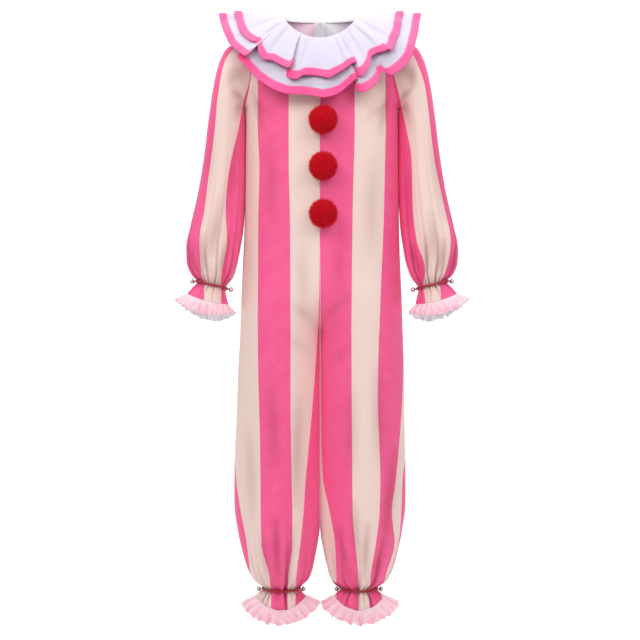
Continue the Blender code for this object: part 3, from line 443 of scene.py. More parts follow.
def ball_grid(rings, around):
    """Grid of unit vectors over a ball, from its top to its foot, a hair short of its poles."""
    tilt, turn = np.meshgrid(np.linspace(0.02, pi - 0.02, rings), np.arange(around) / around * 2 * pi,
                             indexing="ij")
    return stack(np.sin(tilt) * np.cos(turn), np.sin(tilt) * np.sin(turn), np.cos(tilt))


def strip_uv(points, walked):
    """UV of a grid in stripe widths: the distance walked across, and down each column."""
    return np.stack([np.broadcast_to(walked, points.shape[:2]), lengths(points, 0)], axis=-1) / STRIPE


def facing(normals, ways):
    """Normals turned round where they point against the given ways."""
    return normals * np.sign(np.sum(normals * ways, axis=-1, keepdims=True))


def upward(normals):
    """Normals turned round where they point down."""
    return normals * np.sign(normals[..., 2:] + 1e-9)


def read_along(values, walked, at):
    """Rows of values at walked distances along their line."""
    return np.stack([np.interp(at, walked, column) for column in values.T], axis=-1)


def many(faces, count, corners):
    """Faces of one small shape, repeated count times, each with its own corners."""
    faces = np.array(faces)
    return (np.arange(count)[:, None, None] * corners + faces).reshape(-1, faces.shape[1])


# Materials


def linear(code):
    """Linear colour of an sRGB hex value, with full alpha."""
    parts = np.array([int(code[i:i + 2], 16) / 255 for i in (1, 3, 5)])
    low, high = parts / 12.92, ((parts + 0.055) / 1.055) ** 2.4
    return (*np.where(parts <= 0.04045, low, high), 1.0)


def node(tree, kind, inputs, out=0, **settings):
    """Add a shader node, set its properties, and give back one of its outputs.

    An input is a value to set or another node's output to join.
    """
    made = tree.nodes.new("ShaderNode" + kind)
    for name, value in settings.items():
        setattr(made, name, value)
    for name, value in inputs.items():
        if isinstance(value, bpy.types.NodeSocket):
            tree.links.new(value, made.inputs[name])
        else:
            made.inputs[name].default_value = value
    return made.outputs[out]


def new_material(name, place):
    """Begin a material: return it, its node tree, and where its patterns lie."""
    made = bpy.data.materials.new(name)
    made.use_nodes = True
    return made, made.node_tree, node(made.node_tree, "TexCoord", {}, place)


def finished(made, colour, bump, **settings):
    """Join the colour and the normal to the shader, set its own sockets, and return the material."""
    shader, links = made.node_tree.nodes["Principled BSDF"], made.node_tree.links
    links.new(colour, shader.inputs["Base Color"])
    if bump:
        links.new(bump, shader.inputs["Normal"])
    for name, value in settings.items():
        shader.inputs[name.replace("_", " ")].default_value = value
    return made


def mixed(tree, share, first, second, blend="MIX"):
    """Colour between two hex values or outputs, by a share that is a number or an output."""
    first, second = (linear(one) if isinstance(one, str) else one for one in (first, second))
    return node(tree, "Mix", {0: share, 6: first, 7: second}, 2, data_type="RGBA", blend_type=blend)


def shaded(tree, colour, share, dark):
    """Darken a colour in the folds: painted shade, where the folds' hollows would lie in shadow."""
    fold = node(tree, "Attribute", {}, "Fac", attribute_name="fold")
    share = node(tree, "Math", {0: fold, 1: share}, operation="MULTIPLY")
    return mixed(tree, share, colour, dark, "MULTIPLY")


def weave(tree, place, per_unit, strength, distance):
    """Normal of a plain weave: sin(x) sin(y) over the piece's own UV map, with fine noise."""
    waves = []
    for axis in "XY":
        along = node(tree, "SeparateXYZ", {"Vector": place}, axis)
        turns = node(tree, "Math", {0: along, 1: per_unit * 2 * pi}, operation="MULTIPLY")
        waves.append(node(tree, "Math", {0: turns}, operation="SINE"))
    height = node(tree, "Math", dict(enumerate(waves)), operation="MULTIPLY")
    grain = node(tree, "TexNoise", {"Vector": place, "Scale": per_unit * 0.7, "Detail": 3.0}, "Fac")
    height = node(tree, "Math", {0: grain, 1: 1.2, 2: height}, operation="MULTIPLY_ADD")
    return node(tree, "Bump", {"Height": height, "Strength": strength, "Distance": distance})


def stripe_cloth(name, pink, cream, mottled):
    """Heavy polyester satin knit, printed in stripes: smooth, with a soft wide sheen.

    The UV map counts stripes along U, so a stripe is pink where the whole part of U is even.
    """
    made, tree, place = new_material(name, "UV")
    counted = node(tree, "SeparateXYZ", {"Vector": place}, "X")
    whole = node(tree, "Math", {0: counted}, operation="FLOOR")
    rest = node(tree, "Math", {0: whole, 1: 2.0}, operation="MODULO")
    odd = node(tree, "Math", {0: rest}, operation="ABSOLUTE")
    cloud = node(tree, "TexNoise", {"Vector": place, "Scale": 2.3, "Detail": 4.0}, "Fac")
    above = node(tree, "Math", {0: cloud, 1: 0.35}, operation="SUBTRACT")
    pale = node(tree, "Math", {0: above, 1: mottled}, operation="MULTIPLY")
    # Folds darken towards #A87880 as painted shade
    colour = shaded(tree, mixed(tree, pale, mixed(tree, odd, pink, cream), "#F4E6EE"), 0.85, "#A87880")
    return finished(made, colour, weave(tree, place, STRIPE / KNIT_THREAD, 0.12, 0.00015),
                    Roughness=0.62, Sheen_Weight=0.12, Sheen_Roughness=0.45, Specular_IOR_Level=0.30)


def plain_cloth(name, colour, tint, roughness, sheen, thread, bump=0.12):
    """Woven cloth of one colour with a faint cloudiness; thread is the spacing that is drawn."""
    made, tree, place = new_material(name, "UV")
    cloud = node(tree, "TexNoise", {"Vector": place, "Scale": 1.6, "Detail": 4.0}, "Fac")
    threads = weave(tree, place, STRIPE / thread, bump, 0.00012)
    return finished(made, mixed(tree, cloud, colour, tint), threads,
                    Roughness=roughness, Sheen_Weight=sheen, Specular_IOR_Level=0.35)


def crinkled_satin(name, colour, tint, hollow):
    """Thin satin ribbon gathered tight: bright ridges, hollows darkened with painted shade, a crinkle of 2 to
    6 mm.
    """
    made, tree, place = new_material(name, "Object")
    cloud = node(tree, "TexNoise", {"Vector": place, "Scale": 60.0, "Detail": 3.0}, "Fac")
    crinkle = node(tree, "TexNoise", {"Vector": place, "Scale": 130.0, "Detail": 4.0, "Distortion": 1.6},
                   "Fac")
    bump = node(tree, "Bump", {"Height": crinkle, "Strength": 0.8, "Distance": 0.0026})
    # hollow is the painted shade that the pleats' valleys are darkened towards
    return finished(made, shaded(tree, mixed(tree, cloud, colour, tint), 0.6, hollow), bump,
                    Roughness=0.24, Sheen_Weight=0.10, Anisotropic=0.4)


def grained(name, place, pattern, inputs, colours, strength, distance, **settings):
    """A material whose one pattern runs between two colours and raises the surface a little."""
    made, tree, place = new_material(name, place)
    grain = node(tree, pattern, {"Vector": place, **inputs}, "Fac")
    bump = node(tree, "Bump", {"Height": grain, "Strength": strength, "Distance": distance})
    # The first colour lies where the pattern is low, in its bump's hollows; for the fur, cord and metal it is
    # darker, a painted shade
    return finished(made, mixed(tree, grain, *colours), bump, **settings), tree, grain


def fibre(name, root, tip):
    """Dyed acrylic fur: a fine mottle of two reds, with a scatter of paler fibres; the deeper red lies in the
    mottle's hollows as painted shade.
    """
    return grained(name, "Object", "TexNoise", {"Scale": 420.0, "Detail": 2.0}, (root, tip), 0.3, 0.0005,
                   Roughness=0.85, Sheen_Weight=0.05, Specular_IOR_Level=0.10)[0]


def twisted_cord(name, colour, groove_shade):
    """Twisted rayon cord: threads of 0.3 mm lie along each strand, with a silky gleam; the grooves between
    them are darkened as painted shade.
    """
    return grained(name, "UV", "TexWave", {"Scale": 9.0, "Distortion": 0.6}, (groove_shade, colour), 0.35, 0.0002,
                   Roughness=0.42, Sheen_Weight=0.2)[0]


def plated_metal(name, colour, dark):
    """Nickel-plated brass: bright, with a fine brushed haze and slightly darker hollows, which are painted
    shade.
    """
    made, tree, haze = grained(name, "Object", "TexNoise", {"Scale": 380.0, "Detail": 3.0}, (dark, colour),
                               0.08, 0.0002, Metallic=1.0)
    rough = node(tree, "Math", {0: haze, 1: 0.12, 2: 0.16}, operation="MULTIPLY_ADD")
    tree.links.new(rough, tree.nodes["Principled BSDF"].inputs["Roughness"])
    return made


def floor_paper(name, colour, tint):
    """Matt studio paper, nearly white, with a very faint mottle."""
    made, tree, place = new_material(name, "Object")
    cloud = node(tree, "TexNoise", {"Vector": place, "Scale": 3.0}, "Fac")
    return finished(made, mixed(tree, cloud, colour, tint), None, Roughness=0.95)


def material(name):
    """Return one of the costume's materials, made on first use from the user's colours."""
    colours = bpy.context.scene.costume_colours
    maker, *choices = {
        "printed_satin_knit": (stripe_cloth, colours.pink, colours.cream, 0.10),
        "printed_knit_wrong_side": (stripe_cloth, "#FFDAEE", "#F8F2FA", 0.20),
        "white_taffeta": (plain_cloth, colours.collar, "#CDC6D9", 0.60, 0.10, 0.0010),
        "grosgrain_ribbon": (plain_cloth, colours.ribbon, "#F8599A", 0.50, 0.10, 0.0012, 0.25),
        "polyester_tape": (plain_cloth, "#EDEAF0", "#FBFAFC", 0.80, 0.05, 0.0010, 0.3),
        # The satins' last colours are the painted shade of their pleats' valleys
        "crinkled_satin": (crinkled_satin, colours.frill, "#FFEDF3", "#FFA0B8"),
        "satin_wrong_side": (crinkled_satin, "#F4F0F5", "#FFFFFF", "#E6DCE4"),
        # The fur's first red, the cord's groove red and the metal's darker grey are painted shade in their
        # hollows
        "acrylic_fur": (fibre, "#DC0C24", colours.pompom),
        "rayon_cord": (twisted_cord, colours.cord, "#7E0820"),
        "nickel_plate": (plated_metal, "#D9D8D6", "#A9A7A4"),
        "sewing_thread": (plain_cloth, "#F3EFF2", "#FFFFFF", 0.7, 0.1, 0.0008),
        "studio_paper": (floor_paper, "#FFFFFF", "#FEFEFE"),
    }[name]
    return bpy.data.materials.get(name) or maker(name, *choices)


# Body


def neck_point(turn):
    """Point of the neck edge: turn is an angle, 0 at the centre front and pi at the back."""
    front = np.maximum(np.cos(turn), 0) ** 1.5 * NECK_FRONT_DROP
    back = np.maximum(-np.cos(turn), 0) * NECK_BACK_RISE
    return stack(NECK_HALF_WIDTH * np.sin(turn), -NECK_HALF_DEPTH * np.cos(turn), back - front)


def armhole_point(side, turn):
    """Point of the armhole's front half: turn is 0 at the shoulder and pi under the arm."""
    x = ARMHOLE_X - (ARMHOLE_X - SHOULDER_X) * np.cos(turn) - ARMHOLE_BOW * np.sin(turn) ** 2
    return stack(
        side * (x + side * SIDE_LEAN),
        -ARMHOLE_HALF_DEPTH * np.sin(turn),
        -ARMHOLE_DROP + ARMHOLE_HALF_HEIGHT * np.cos(turn),
    )


def gathers(turn, count, slip):
    """Uneven gathers: a cosine whose phase slips along the seam, and a weaker finer one."""
    phase = 2 * pi * count * turn
    return np.cos(phase + slip * np.sin(2 * pi * 1.5 * turn)) * 0.8 + 0.2 * np.cos(2 * phase + 3 * slip)


def leg_point(side, face, turn, drop):
    """Point of the body below the chest: an oval section between its inner and outer edge.

    turn is 0 at the centre seam or inseam and 1 at the side seam.
    """
    outer, lean, inner, depth, fold, gather, dip = (
        smooth(BODY, name, drop) for name in ("outer", "lean", "inner", "depth", "fold", "gather", "dip"))
    outer = outer + side * lean
    centre, half = (outer + inner) / 2, (outer - inner) / 2
    start = -np.arcsin(np.clip(centre / half, -1, 1))
    angle = start + turn * (pi / 2 - start)
    press = LEG_PRESS * np.maximum(-np.sin(angle), 0) ** 4
    ripple = fold * (np.cos(2 * pi * FOLDS_PER_PANEL * turn) - 1 + press)
    ripple = ripple - gather * gathers(turn, GATHERS_PER_PANEL, 0.35 * side)
    x = side * (centre + (half + ripple) * np.sin(angle))
    y = face * (depth + ripple) * np.cos(angle)
    return stack(x, y, -drop - dip * np.cos(angle) ** 2)


def upper_point(side, face, u, row):
    """Point of the upper body: each row is a curve from the neck or centre to the armhole."""
    flip = np.array((side, -face, 1))
    chest_centre = leg_point(side, face, 0.0, np.float64(CHEST_DROP)) * flip
    chest_side = leg_point(side, face, 1.0, np.float64(CHEST_DROP)) * flip
    to_neck = np.clip(row / NECK_ROW, 0, 1)
    neck = neck_point(pi / 2 * (1 + face * to_neck)) * (1, -face, 1)
    down = np.clip((row - NECK_ROW) / (1 - NECK_ROW), 0, 1)[..., None]
    neck_end = neck_point(np.float64(pi / 2 * (1 + face))) * (1, -face, 1)
    length = np.linalg.norm(chest_centre - neck_end)
    centre = hermite(neck_end, np.array(CENTRE_LEAVES) * length,
                     chest_centre, np.array((0, 0, -1.0)) * length, down)
    inner = np.where((row > NECK_ROW)[..., None], centre, neck)
    hole = armhole_point(side, pi * np.clip(row / HOLE_ROW, 0, 1)) * (side, 1, 1)
    under = np.clip((row - HOLE_ROW) / (1 - HOLE_ROW), 0, 1)[..., None]
    outer = hole + (chest_side - hole) * under
    chord = (outer - inner)[..., 2]
    start, end = (
        stack(*(smooth(UPPER_WAYS, f"{end}_{axis}", row, "row") for axis in "xy"), chord)
        for end in ("start", "end")
    )
    return hermite(inner, start, outer, end, np.asarray(u)[..., None]) * flip


def crease_depth(creases, first, second, places):
    """Depth of listed creases at points of a plane.

    Each is a straight line. The depth falls with the distance d from it as exp(-(d / width)^2),
    and with the distance past either end in the same way.
    """
    total = np.zeros(places.shape[:-1])
    for start, end, width, depth in zip(first, second, creases["width"], creases["depth"]):
        line = end - start
        along = np.clip(((places - start) @ line) / (line @ line), 0, 1)
        away = np.linalg.norm(places - start - along[..., None] * line, axis=-1)
        total += depth * np.exp(-((away / width) ** 2)) * (0.35 + 0.65 * np.sin(pi * along))
    return total


def cinched(turn, count, slip, away):
    """Depth of the sharp valleys that a cord draws in, falling off with the distance from it.

    A valley is 1 - |sin(p)|^0.7, where p grows with the turn and slips unevenly. It fades as
    exp(-distance / reach), and each valley has a reach of its own.
    """
    phase = pi * count * turn + 0.9 * np.sin(9.0 * turn + slip) + 0.5 * np.sin(23.0 * turn + 2 * slip)
    valley = 1 - np.abs(np.sin(phase)) ** 0.7
    own = 0.65 + 0.35 * np.sin(2.4 * phase / pi + slip)
    reach = np.where(away < 0, CINCH_ABOVE, CINCH_BELOW) * own
    return CINCH_DEPTH * own * valley * np.exp(-np.abs(away) / reach)


def count_stripes(far, walked, edges):
    """Stripes counted along one row of a panel, whose edges are given as distances from the middle.

    Each edge is found on the row as a walked distance. Where a row turns to the side seam, an
    edge lies no more than WIDEST_STRIPE past the one before, and the last no more than a stripe.
    """
    far = np.maximum.accumulate(far) + 1e-9 * np.arange(len(far))
    marks = np.interp(edges, far, walked)
    marks = marks - np.maximum(far[0] - edges, 0) + np.maximum(edges - far[-1], 0) * 4
    for k, widest in enumerate((WIDEST_STRIPE, WIDEST_STRIPE, WIDEST_STRIPE, STRIPE), 1):
        marks[k] = np.clip(marks[k], marks[k - 1] + STRIPE / 10, marks[k - 1] + widest)
    marks = np.concatenate([marks[:1] - STRIPE, marks, marks[-1:] + STRIPE])
    return np.interp(walked, marks, np.arange(-1, 6))


def panel_grid(side, face):
    """Grid of one body panel, its UV map and its fold depths, which darken its colour as painted shade.

    The upper rows come from the yoke's curves and the lower ones from the oval sections, both
    pushed in by the creases. U counts stripes and V runs down the cloth in stripe widths.
    """
    u = np.linspace(0, 1, PANEL_COLUMNS)
    rows = np.linspace(0, 1, 41)[:-1]
    drops = np.concatenate([np.linspace(CHEST_DROP, FINE_DROP, 90)[:-1],
                            np.linspace(FINE_DROP, ANKLE_HEM_DROP, 56)])
    across, row = np.meshgrid(u, rows)
    upper = upper_point(side, face, across, row)
    across_low, drop = np.meshgrid(u, drops)
    lower = leg_point(side, face, across_low, drop)
    points = np.concatenate([upper, lower])

    creases = FRONT_CREASES if face < 0 else BACK_CREASES
    starts = np.column_stack([creases["x0"], -creases["d0"]])
    ends = np.column_stack([creases["x1"], -creases["d1"]])
    depth = crease_depth(creases, starts, ends, points[..., ::2])
    away = drop - ANKLE_CORD_DROP
    depth[len(rows):] += cinched(across_low, 9, 7 * side + face, away)
    normals = facing(grid_normals(points), points * (0, 1, 0) + (0, 0, 0.001))
    share = np.concatenate([across, across_low])
    rim = np.clip(14 * np.minimum(share, 1 - share), 0, 1)
    open_edge = np.ones_like(rim)
    open_edge[:6] = np.linspace(0, 1, 6)[:, None]
    depth = depth * rim * open_edge
    points = points - normals * depth[..., None]
    points[..., 0] = side * np.maximum(side * points[..., 0], SEAM_GAP / 2)
    points[..., 1] = face * np.maximum(face * points[..., 1], SEAM_GAP / 2)

    far = np.abs(points[..., 0])
    marks = STRIPES[side] if face < 0 else BACK_STRIPES
    level = -points[..., 2].mean(axis=1)
    edges = np.stack([smooth(marks, name, level) for name in marks if name != "drop"], axis=-1)
    counted = np.stack([count_stripes(*row) for row in zip(far, lengths(points, 1), edges)])
    # On the front the right side starts pink at the centre and the left side starts cream; on
    # the back it is the other way round.
    starts_pink = (side > 0) == (face < 0)
    stripe = counted if starts_pink else counted + 1
    uv = np.stack([stripe, lengths(points, 0) / STRIPE], axis=-1)
    return points, uv, depth / CINCH_DEPTH * FOLD_SHADE


def sleeve_point(side, turn, ring, grow=0.0, uneven=True):
    """Point of a sleeve's outer face: turn is 0 at its outer edge and pi / 2 at its front."""
    def read(column):
        """Values of a column of the sleeve's table at each ring."""
        return smooth(SLEEVE, column, ring, key="ring")

    outer_x, inner_x = read("o_x"), read("i_x")
    outer_z, inner_z = -read("o_drop"), -read("i_drop")
    slip = 0.4 * side * np.sin(1.5 * turn) if uneven else 0.0
    ripple = grow - read("fold") * np.cos(SLEEVE_FOLDS * turn)
    ripple = ripple - read("gather") * np.cos(SLEEVE_GATHERS * turn + slip)
    half_x, half_z = (outer_x - inner_x) / 2, (outer_z - inner_z) / 2
    scale = 1 + ripple / np.hypot(half_x, half_z)
    depth = read("depth") + ripple
    pitch = np.radians(read("pitch"))
    x = (outer_x + inner_x) / 2 + half_x * scale * np.cos(turn) + read("bow") * np.sin(turn) ** 2
    y = -read("forward") - depth * np.cos(pitch) * np.sin(turn)
    z = (outer_z + inner_z) / 2 + half_z * scale * np.cos(turn) + depth * np.sin(pitch) * np.sin(turn)
    z = z - read("dip") * np.sin(turn) ** 2
    return stack(side * (x + side * SIDE_LEAN), y, z)


def sleeve_grid(side):
    """Grid of a sleeve, wrapped at the seam under the arm, its UV map and its fold depths, which darken its
    colour as painted shade.
    """
    turn = -pi + np.arange(SLEEVE_COLUMNS + 1) / SLEEVE_COLUMNS * 2 * pi
    rings = np.concatenate([np.linspace(0, 2, 24)[:-1], np.linspace(2, 8, 70)[:-1], np.linspace(8, 13, 70)])
    turns, ring = np.meshgrid(turn, rings)
    points = sleeve_point(side, turns, ring)
    creases = SLEEVE_CREASES[side]
    places = np.stack([turns * SLEEVE_RADIUS, ring * SLEEVE_RADIUS], axis=-1)
    starts = np.column_stack([creases["t0"], creases["r0"]]) * SLEEVE_RADIUS
    ends = np.column_stack([creases["t1"], creases["r1"]]) * SLEEVE_RADIUS
    depth = crease_depth(creases, starts, ends, places) * np.clip(ring * 3, 0, 1)
    depth = depth * np.clip((WRIST_CORD_RING - 0.6 - ring) * 2, 0, 1)
    depth = depth + cinched(turns / (2 * pi), 24, 3 * side, (ring - WRIST_CORD_RING) * WRIST_RING_GAP)
    middle = points[:, :-1].mean(axis=1, keepdims=True)
    points = points - unit(points - middle) * depth[..., None]
    points[0, :, 0] += side * SLEEVE_GAP
    one, two = (smooth(SLEEVE_STRIPES[side], name, -points[..., 2]) for name in ("one", "two"))
    inward = one - np.abs(points[..., 0])
    width = one - two
    stripe = np.where(inward > width, 2 + (inward - width) / STRIPE, 1 + inward / width)
    stripe = np.where(inward < 0, 1 + inward / STRIPE, stripe)
    walked = lengths(points, 1)
    behind = walked[:, [np.abs(turn - SLEEVE_BACK_EDGE).argmin()]] - walked
    stripe = np.where(behind > 0, -behind / STRIPE, stripe)
    uv = np.stack([stripe, lengths(points, 0) / STRIPE], axis=-1)
    return points[:, :-1], uv, depth[:, :-1] / CINCH_DEPTH * FOLD_SHADE


# Frills


def ankle_ring(side, turn, centre, half_width, half_depth, drop, dip):
    """Oval ring round an ankle: turn is 0 at the front and pi / 2 at the outer side."""
    return stack(side * (centre + half_width * np.sin(turn)), -half_depth * np.cos(turn),
                 -drop - dip * np.cos(turn) ** 2)


def wrist_ring(side, turn, o_x, o_drop, i_x, i_drop, depth, forward, pitch, dip):
    """Oval ring round a wrist, from an outer and an inner point: turn is 0 at the outer one."""
    lean = np.radians(pitch)
    return stack(
        side * ((o_x + i_x) / 2 + (o_x - i_x) / 2 * np.cos(turn) + side * SIDE_LEAN),
        -forward - depth * np.cos(lean) * np.sin(turn),
        -(o_drop + i_drop) / 2 - (o_drop - i_drop) / 2 * np.cos(turn)
        + depth * np.sin(lean) * np.sin(turn) - dip * np.sin(turn) ** 2,
    )


def frill_grid(place, side):
    """Grid of a gathered frill between its seam ring and its free edge, its UV map and the painted shade of
    its folds.

    The seam ring is the hem of the leg or sleeve, which the frill carries on and flares out. A
    point stands off the plain cone by a wave that grows from the seam to the edge. The wave is
    the sum of the main pleats and of finer ones, their phases slipping unevenly, and it also
    leans sideways, so that the pleats curl as gathered satin does.
    """
    if place == "ankle":
        outer, inner, depth, dip = (BODY[name][-1] for name in ("outer", "inner", "depth", "dip"))
        hem = {"centre": (outer + inner) / 2, "half_width": (outer - inner) / 2, "half_depth": depth,
               "drop": ANKLE_HEM_DROP, "dip": dip}
        oval, free, count, seed = ankle_ring, ANKLE_FRILL_EDGE, 4 * GATHERS_PER_PANEL, 5 + side
    else:
        hem = {name: SLEEVE[name][-1] for name in WRIST_FRILL_EDGE}
        oval, free, count, seed = wrist_ring, WRIST_FRILL_EDGE, SLEEVE_GATHERS, 25 + side

    def surface(turn, share):
        """Point of the plain cone, from a seam's gap off the hem to the free edge."""
        seam = oval(side, turn, **hem)
        way = oval(side, turn, **free) - seam
        gap = RING_SEAM_GAP / np.linalg.norm(way, axis=-1, keepdims=True)
        return seam + way * (gap + share[..., None] * (1 - gap))

    turn = np.arange(FRILL_COLUMNS + 1) / FRILL_COLUMNS * 2 * pi
    turns, share = np.meshgrid(turn, np.linspace(0, 1, FRILL_ROWS))
    chance = np.random.default_rng(seed)
    slips = chance.uniform(0, 2 * pi, 6)
    plain = surface(turns, share)
    along = surface(turns + 1e-4, share) - surface(turns - 1e-4, share)
    down = surface(turns, share + 1e-4) - surface(turns, share - 1e-4)
    normals = facing(unit(np.cross(along, down)), plain - plain[:, :-1].mean(axis=1, keepdims=True))
    slip = 0.9 * np.sin(2 * turns + slips[0]) + 0.6 * np.sin(5 * turns + slips[1])
    size = 1 + 0.45 * np.sin(3 * turns + slips[2]) + 0.35 * np.sin(7 * turns + slips[3])
    main = 2 * np.abs(np.sin((FRILL_WAVES * turns + slip) / 2)) ** 0.8 - 1
    fine = np.cos(FINE_WAVES * turns + slips[4] + 3 * share + 1.5 * np.sin(5 * turns))
    crumple = sum(
        np.sin(m * turns + n * share + chance.uniform(0, 2 * pi)) * (0.5 + 0.5 * np.sin(k * turns + n))
        for m, n, k in ((31, 9.0, 4), (53, -14.0, 7), (17, 6.0, 3), (71, 19.0, 5)))
    grow = share**0.8
    height = -0.0003 * np.cos(count * turns) * (1 - grow)
    height = height + (PLEAT * main * size + FINE_PLEAT * fine + FINE_PLEAT * crumple) * grow
    curl = PLEAT_CURL * np.sin(FRILL_WAVES * turns + slip + 0.9) * grow
    points = plain + normals * height[..., None] + unit(along) * curl[..., None]
    points = points + unit(down) * (EDGE_WAVE * np.sin(EDGE_WAVES * turns + slips[5]) * share**3)[..., None]
    points[..., 0] = side * np.maximum(side * points[..., 0], SEAM_GAP / 2)
    uv = np.stack([turns * 0.06 * 2 / STRIPE, lengths(points, 0) / STRIPE], axis=-1)
    # Share of painted shade: most in the pleats' valleys, growing towards the free edge
    fold = (0.5 - 0.5 * main * size + 0.25 * crumple) * grow
    return points[:, :-1], uv, fold[:, :-1]


# Collar


def collar_line(layer, count):
    """Edge points, neck turns and start points for evenly spaced lines of a collar layer."""
    shape = COLLAR_LAYERS[layer]
    rows = dict(shape["edge"])
    rows["row"] = np.arange(len(rows["x"]), dtype=float)
    azimuth = np.unwrap(np.arctan2(rows["x"], -rows["y"]))
    walked = lengths(stack(rows["x"], rows["y"], rows["z"])[:, None], 0)[:, 0]
    even = np.interp(walked, (walked[0], walked[-1]), (azimuth[0], azimuth[-1]))
    rows["turn"] = np.maximum.accumulate(0.75 * azimuth + 0.25 * even)
    at = np.linspace(0, len(azimuth) - 1, count)
    edge = stack(*(catmull(rows[axis], at) for axis in "xyz"))
    turn = smooth(rows, "turn", at, key="row")
    turn = np.convolve(np.pad(turn, 12, mode="reflect", reflect_type="odd"), np.ones(25) / 25, mode="valid")
    slit = COLLAR_SLIT_HALF / NECK_HALF_WIDTH
    turn = turn * (pi - slit) / azimuth[-1]
    start = neck_point(turn)
    rise = shape["start"] * (1 - 0.45 * np.cos(turn) ** 2)
    start = start + stack(0 * at, -COLLAR_RISE_LEAN * np.cos(turn), 1 + 0 * at) * rise[:, None]
    start = start + stack(np.sin(turn), -np.cos(turn), 0 * at) * BINDING_WALL
    return edge, turn, start


def catmull(values, at):
    """Smooth curve through evenly spaced values: the cubic of each four neighbours."""
    padded = np.concatenate([2 * values[:1] - values[1:2], values, 2 * values[-1:] - values[-2:-1]])
    i = np.clip(np.floor(at).astype(int), 0, len(values) - 2)
    t = at - i
    a, b, c, d = (padded[i + k] for k in range(4))
    return b + 0.5 * t * (c - a + t * (2 * a - 5 * b + 4 * c - d + t * (3 * (b - c) + d - a)))


def collar_grid(layer, out, count=560):
    """Grid of a collar layer's upper face: quadratic curves from the neck edge to the outer edge."""
    edge, turn, start = collar_line(layer, count)
    lift = COLLAR_LAYERS[layer]["lift"]
    lean = 0.9 - 0.6 * np.sin(turn) ** 2
    bulge = stack(lean * np.sin(turn), -lean * np.cos(turn), 0.02 + 0.4 * np.sin(turn) ** 8) * lift
    middle = start + (edge - start) * COLLAR_BEND_AT + bulge
    out = np.asarray(out, float)[:, None, None]
    plain = start * (1 - out) ** 2 + middle * 2 * out * (1 - out) + edge * out**2
    at = np.linspace(0, len(COLLAR_LAYERS[layer]["edge"]["x"]) - 1, count)
    creases = zip(*COLLAR_LAYERS[layer]["creases"].values())
    depth = sum(deep * np.exp(-(((at - row) / wide) ** 2)) for row, wide, deep in creases)
    fade = np.sin(pi * np.clip(out * 0.9 + 0.05, 0, 1))
    return plain - upward(grid_normals(plain)) * COLLAR_CREASE * depth[None, :, None] * fade * (1 - out**4)


# Settings that a user would change, and the operators


class CostumeColours(bpy.types.PropertyGroup):
    """Colours of the costume's cloths, as sRGB hex values."""

    pink: bpy.props.StringProperty(
        name="Pink stripe", description="Colour of the pink stripes", default="#F35890")
    cream: bpy.props.StringProperty(
        name="Cream stripe", description="Colour of the cream stripes", default="#ECD2C8")
    collar: bpy.props.StringProperty(
        name="Collar", description="Colour of the two collar layers", default="#C4BDCF")
    ribbon: bpy.props.StringProperty(
        name="Ribbon", description="Colour of the collar's edge ribbons", default="#EC4588")
    frill: bpy.props.StringProperty(
        name="Frill", description="Colour of the satin frills", default="#FFCBD9")
    pompom: bpy.props.StringProperty(
        name="Pompom", description="Colour of the fur's tips", default="#F01830")
    cord: bpy.props.StringProperty(
        name="Cord", description="Colour of the gathering cords", default="#C00E30")


class CostumeSizes(bpy.types.PropertyGroup):
    """Sizes of the trim that a user would change."""

    fibres: bpy.props.IntProperty(
        name="Fibres", description="Fibres in each pompom", default=5600, min=500, max=20000)
    pompom: bpy.props.FloatProperty(
        name="Pompom radius", description="Radius of a pompom to its fibre tips",
        default=0.0285, unit="LENGTH")
    cord: bpy.props.FloatProperty(
        name="Cord radius", description="Radius of a gathering cord", default=0.0024, unit="LENGTH")
    light: bpy.props.FloatProperty(
        name="Key light", description="Power of the main studio light", default=22.0, unit="POWER")


def settle(piece, nodes):
    """Make a piece ride with the garment and stand for its solids."""
    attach(piece, GARMENT)
    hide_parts(*([nodes] if isinstance(nodes, str) else nodes))


class COSTUME_OT_panels(bpy.types.Operator):
    """Build the two front panels and the two back panels, each a wall with a paler wrong side."""

    bl_idname = "costume.panels"
    bl_label = "Body panels"

    def execute(self, context):
        for side, word in SIDES:
            for face, place in ((-1, "front"), (1, "back")):
                points, uv, fold = panel_grid(side, face)
                piece = grid_piece(f"{place}_{word}_cloth", points, KNIT, uv, flip=side * face < 0,
                                   wall=CLOTH, fold=fold)
                settle(piece, [f"{place}_{word}_{part}" for part in PANEL_PARTS])
        return {"FINISHED"}


class COSTUME_OT_sleeves(bpy.types.Operator):
    """Build the two set-in sleeves, tubes that are closed by the seam under the arm."""

    bl_idname = "costume.sleeves"
    bl_label = "Sleeves"

    def execute(self, context):
        for side, word in SIDES:
            points, uv, fold = sleeve_grid(side)
            piece = grid_piece(f"sleeve_{word}_cloth", points, KNIT, uv, wrap=True, flip=side < 0,
                               wall=CLOTH, fold=fold)
            settle(piece, f"sleeve_{word}")
        return {"FINISHED"}


class COSTUME_OT_frills(bpy.types.Operator):
    """Build the satin frills of the wrists and the ankles, each a gathered ring."""

    bl_idname = "costume.frills"
    bl_label = "Frills"

    def execute(self, context):
        for side, word in SIDES:
            for place, way in (("ankle", 1), ("wrist", -1)):
                points, uv, fold = frill_grid(place, side)
                piece = grid_piece(f"frill_{place}_{word}_satin", points, SATIN, uv, wrap=True,
                                   flip=side == way, wall=FRILL_CLOTH, fold=fold)
                settle(piece, f"frill_{place}_{word}")
        return {"FINISHED"}


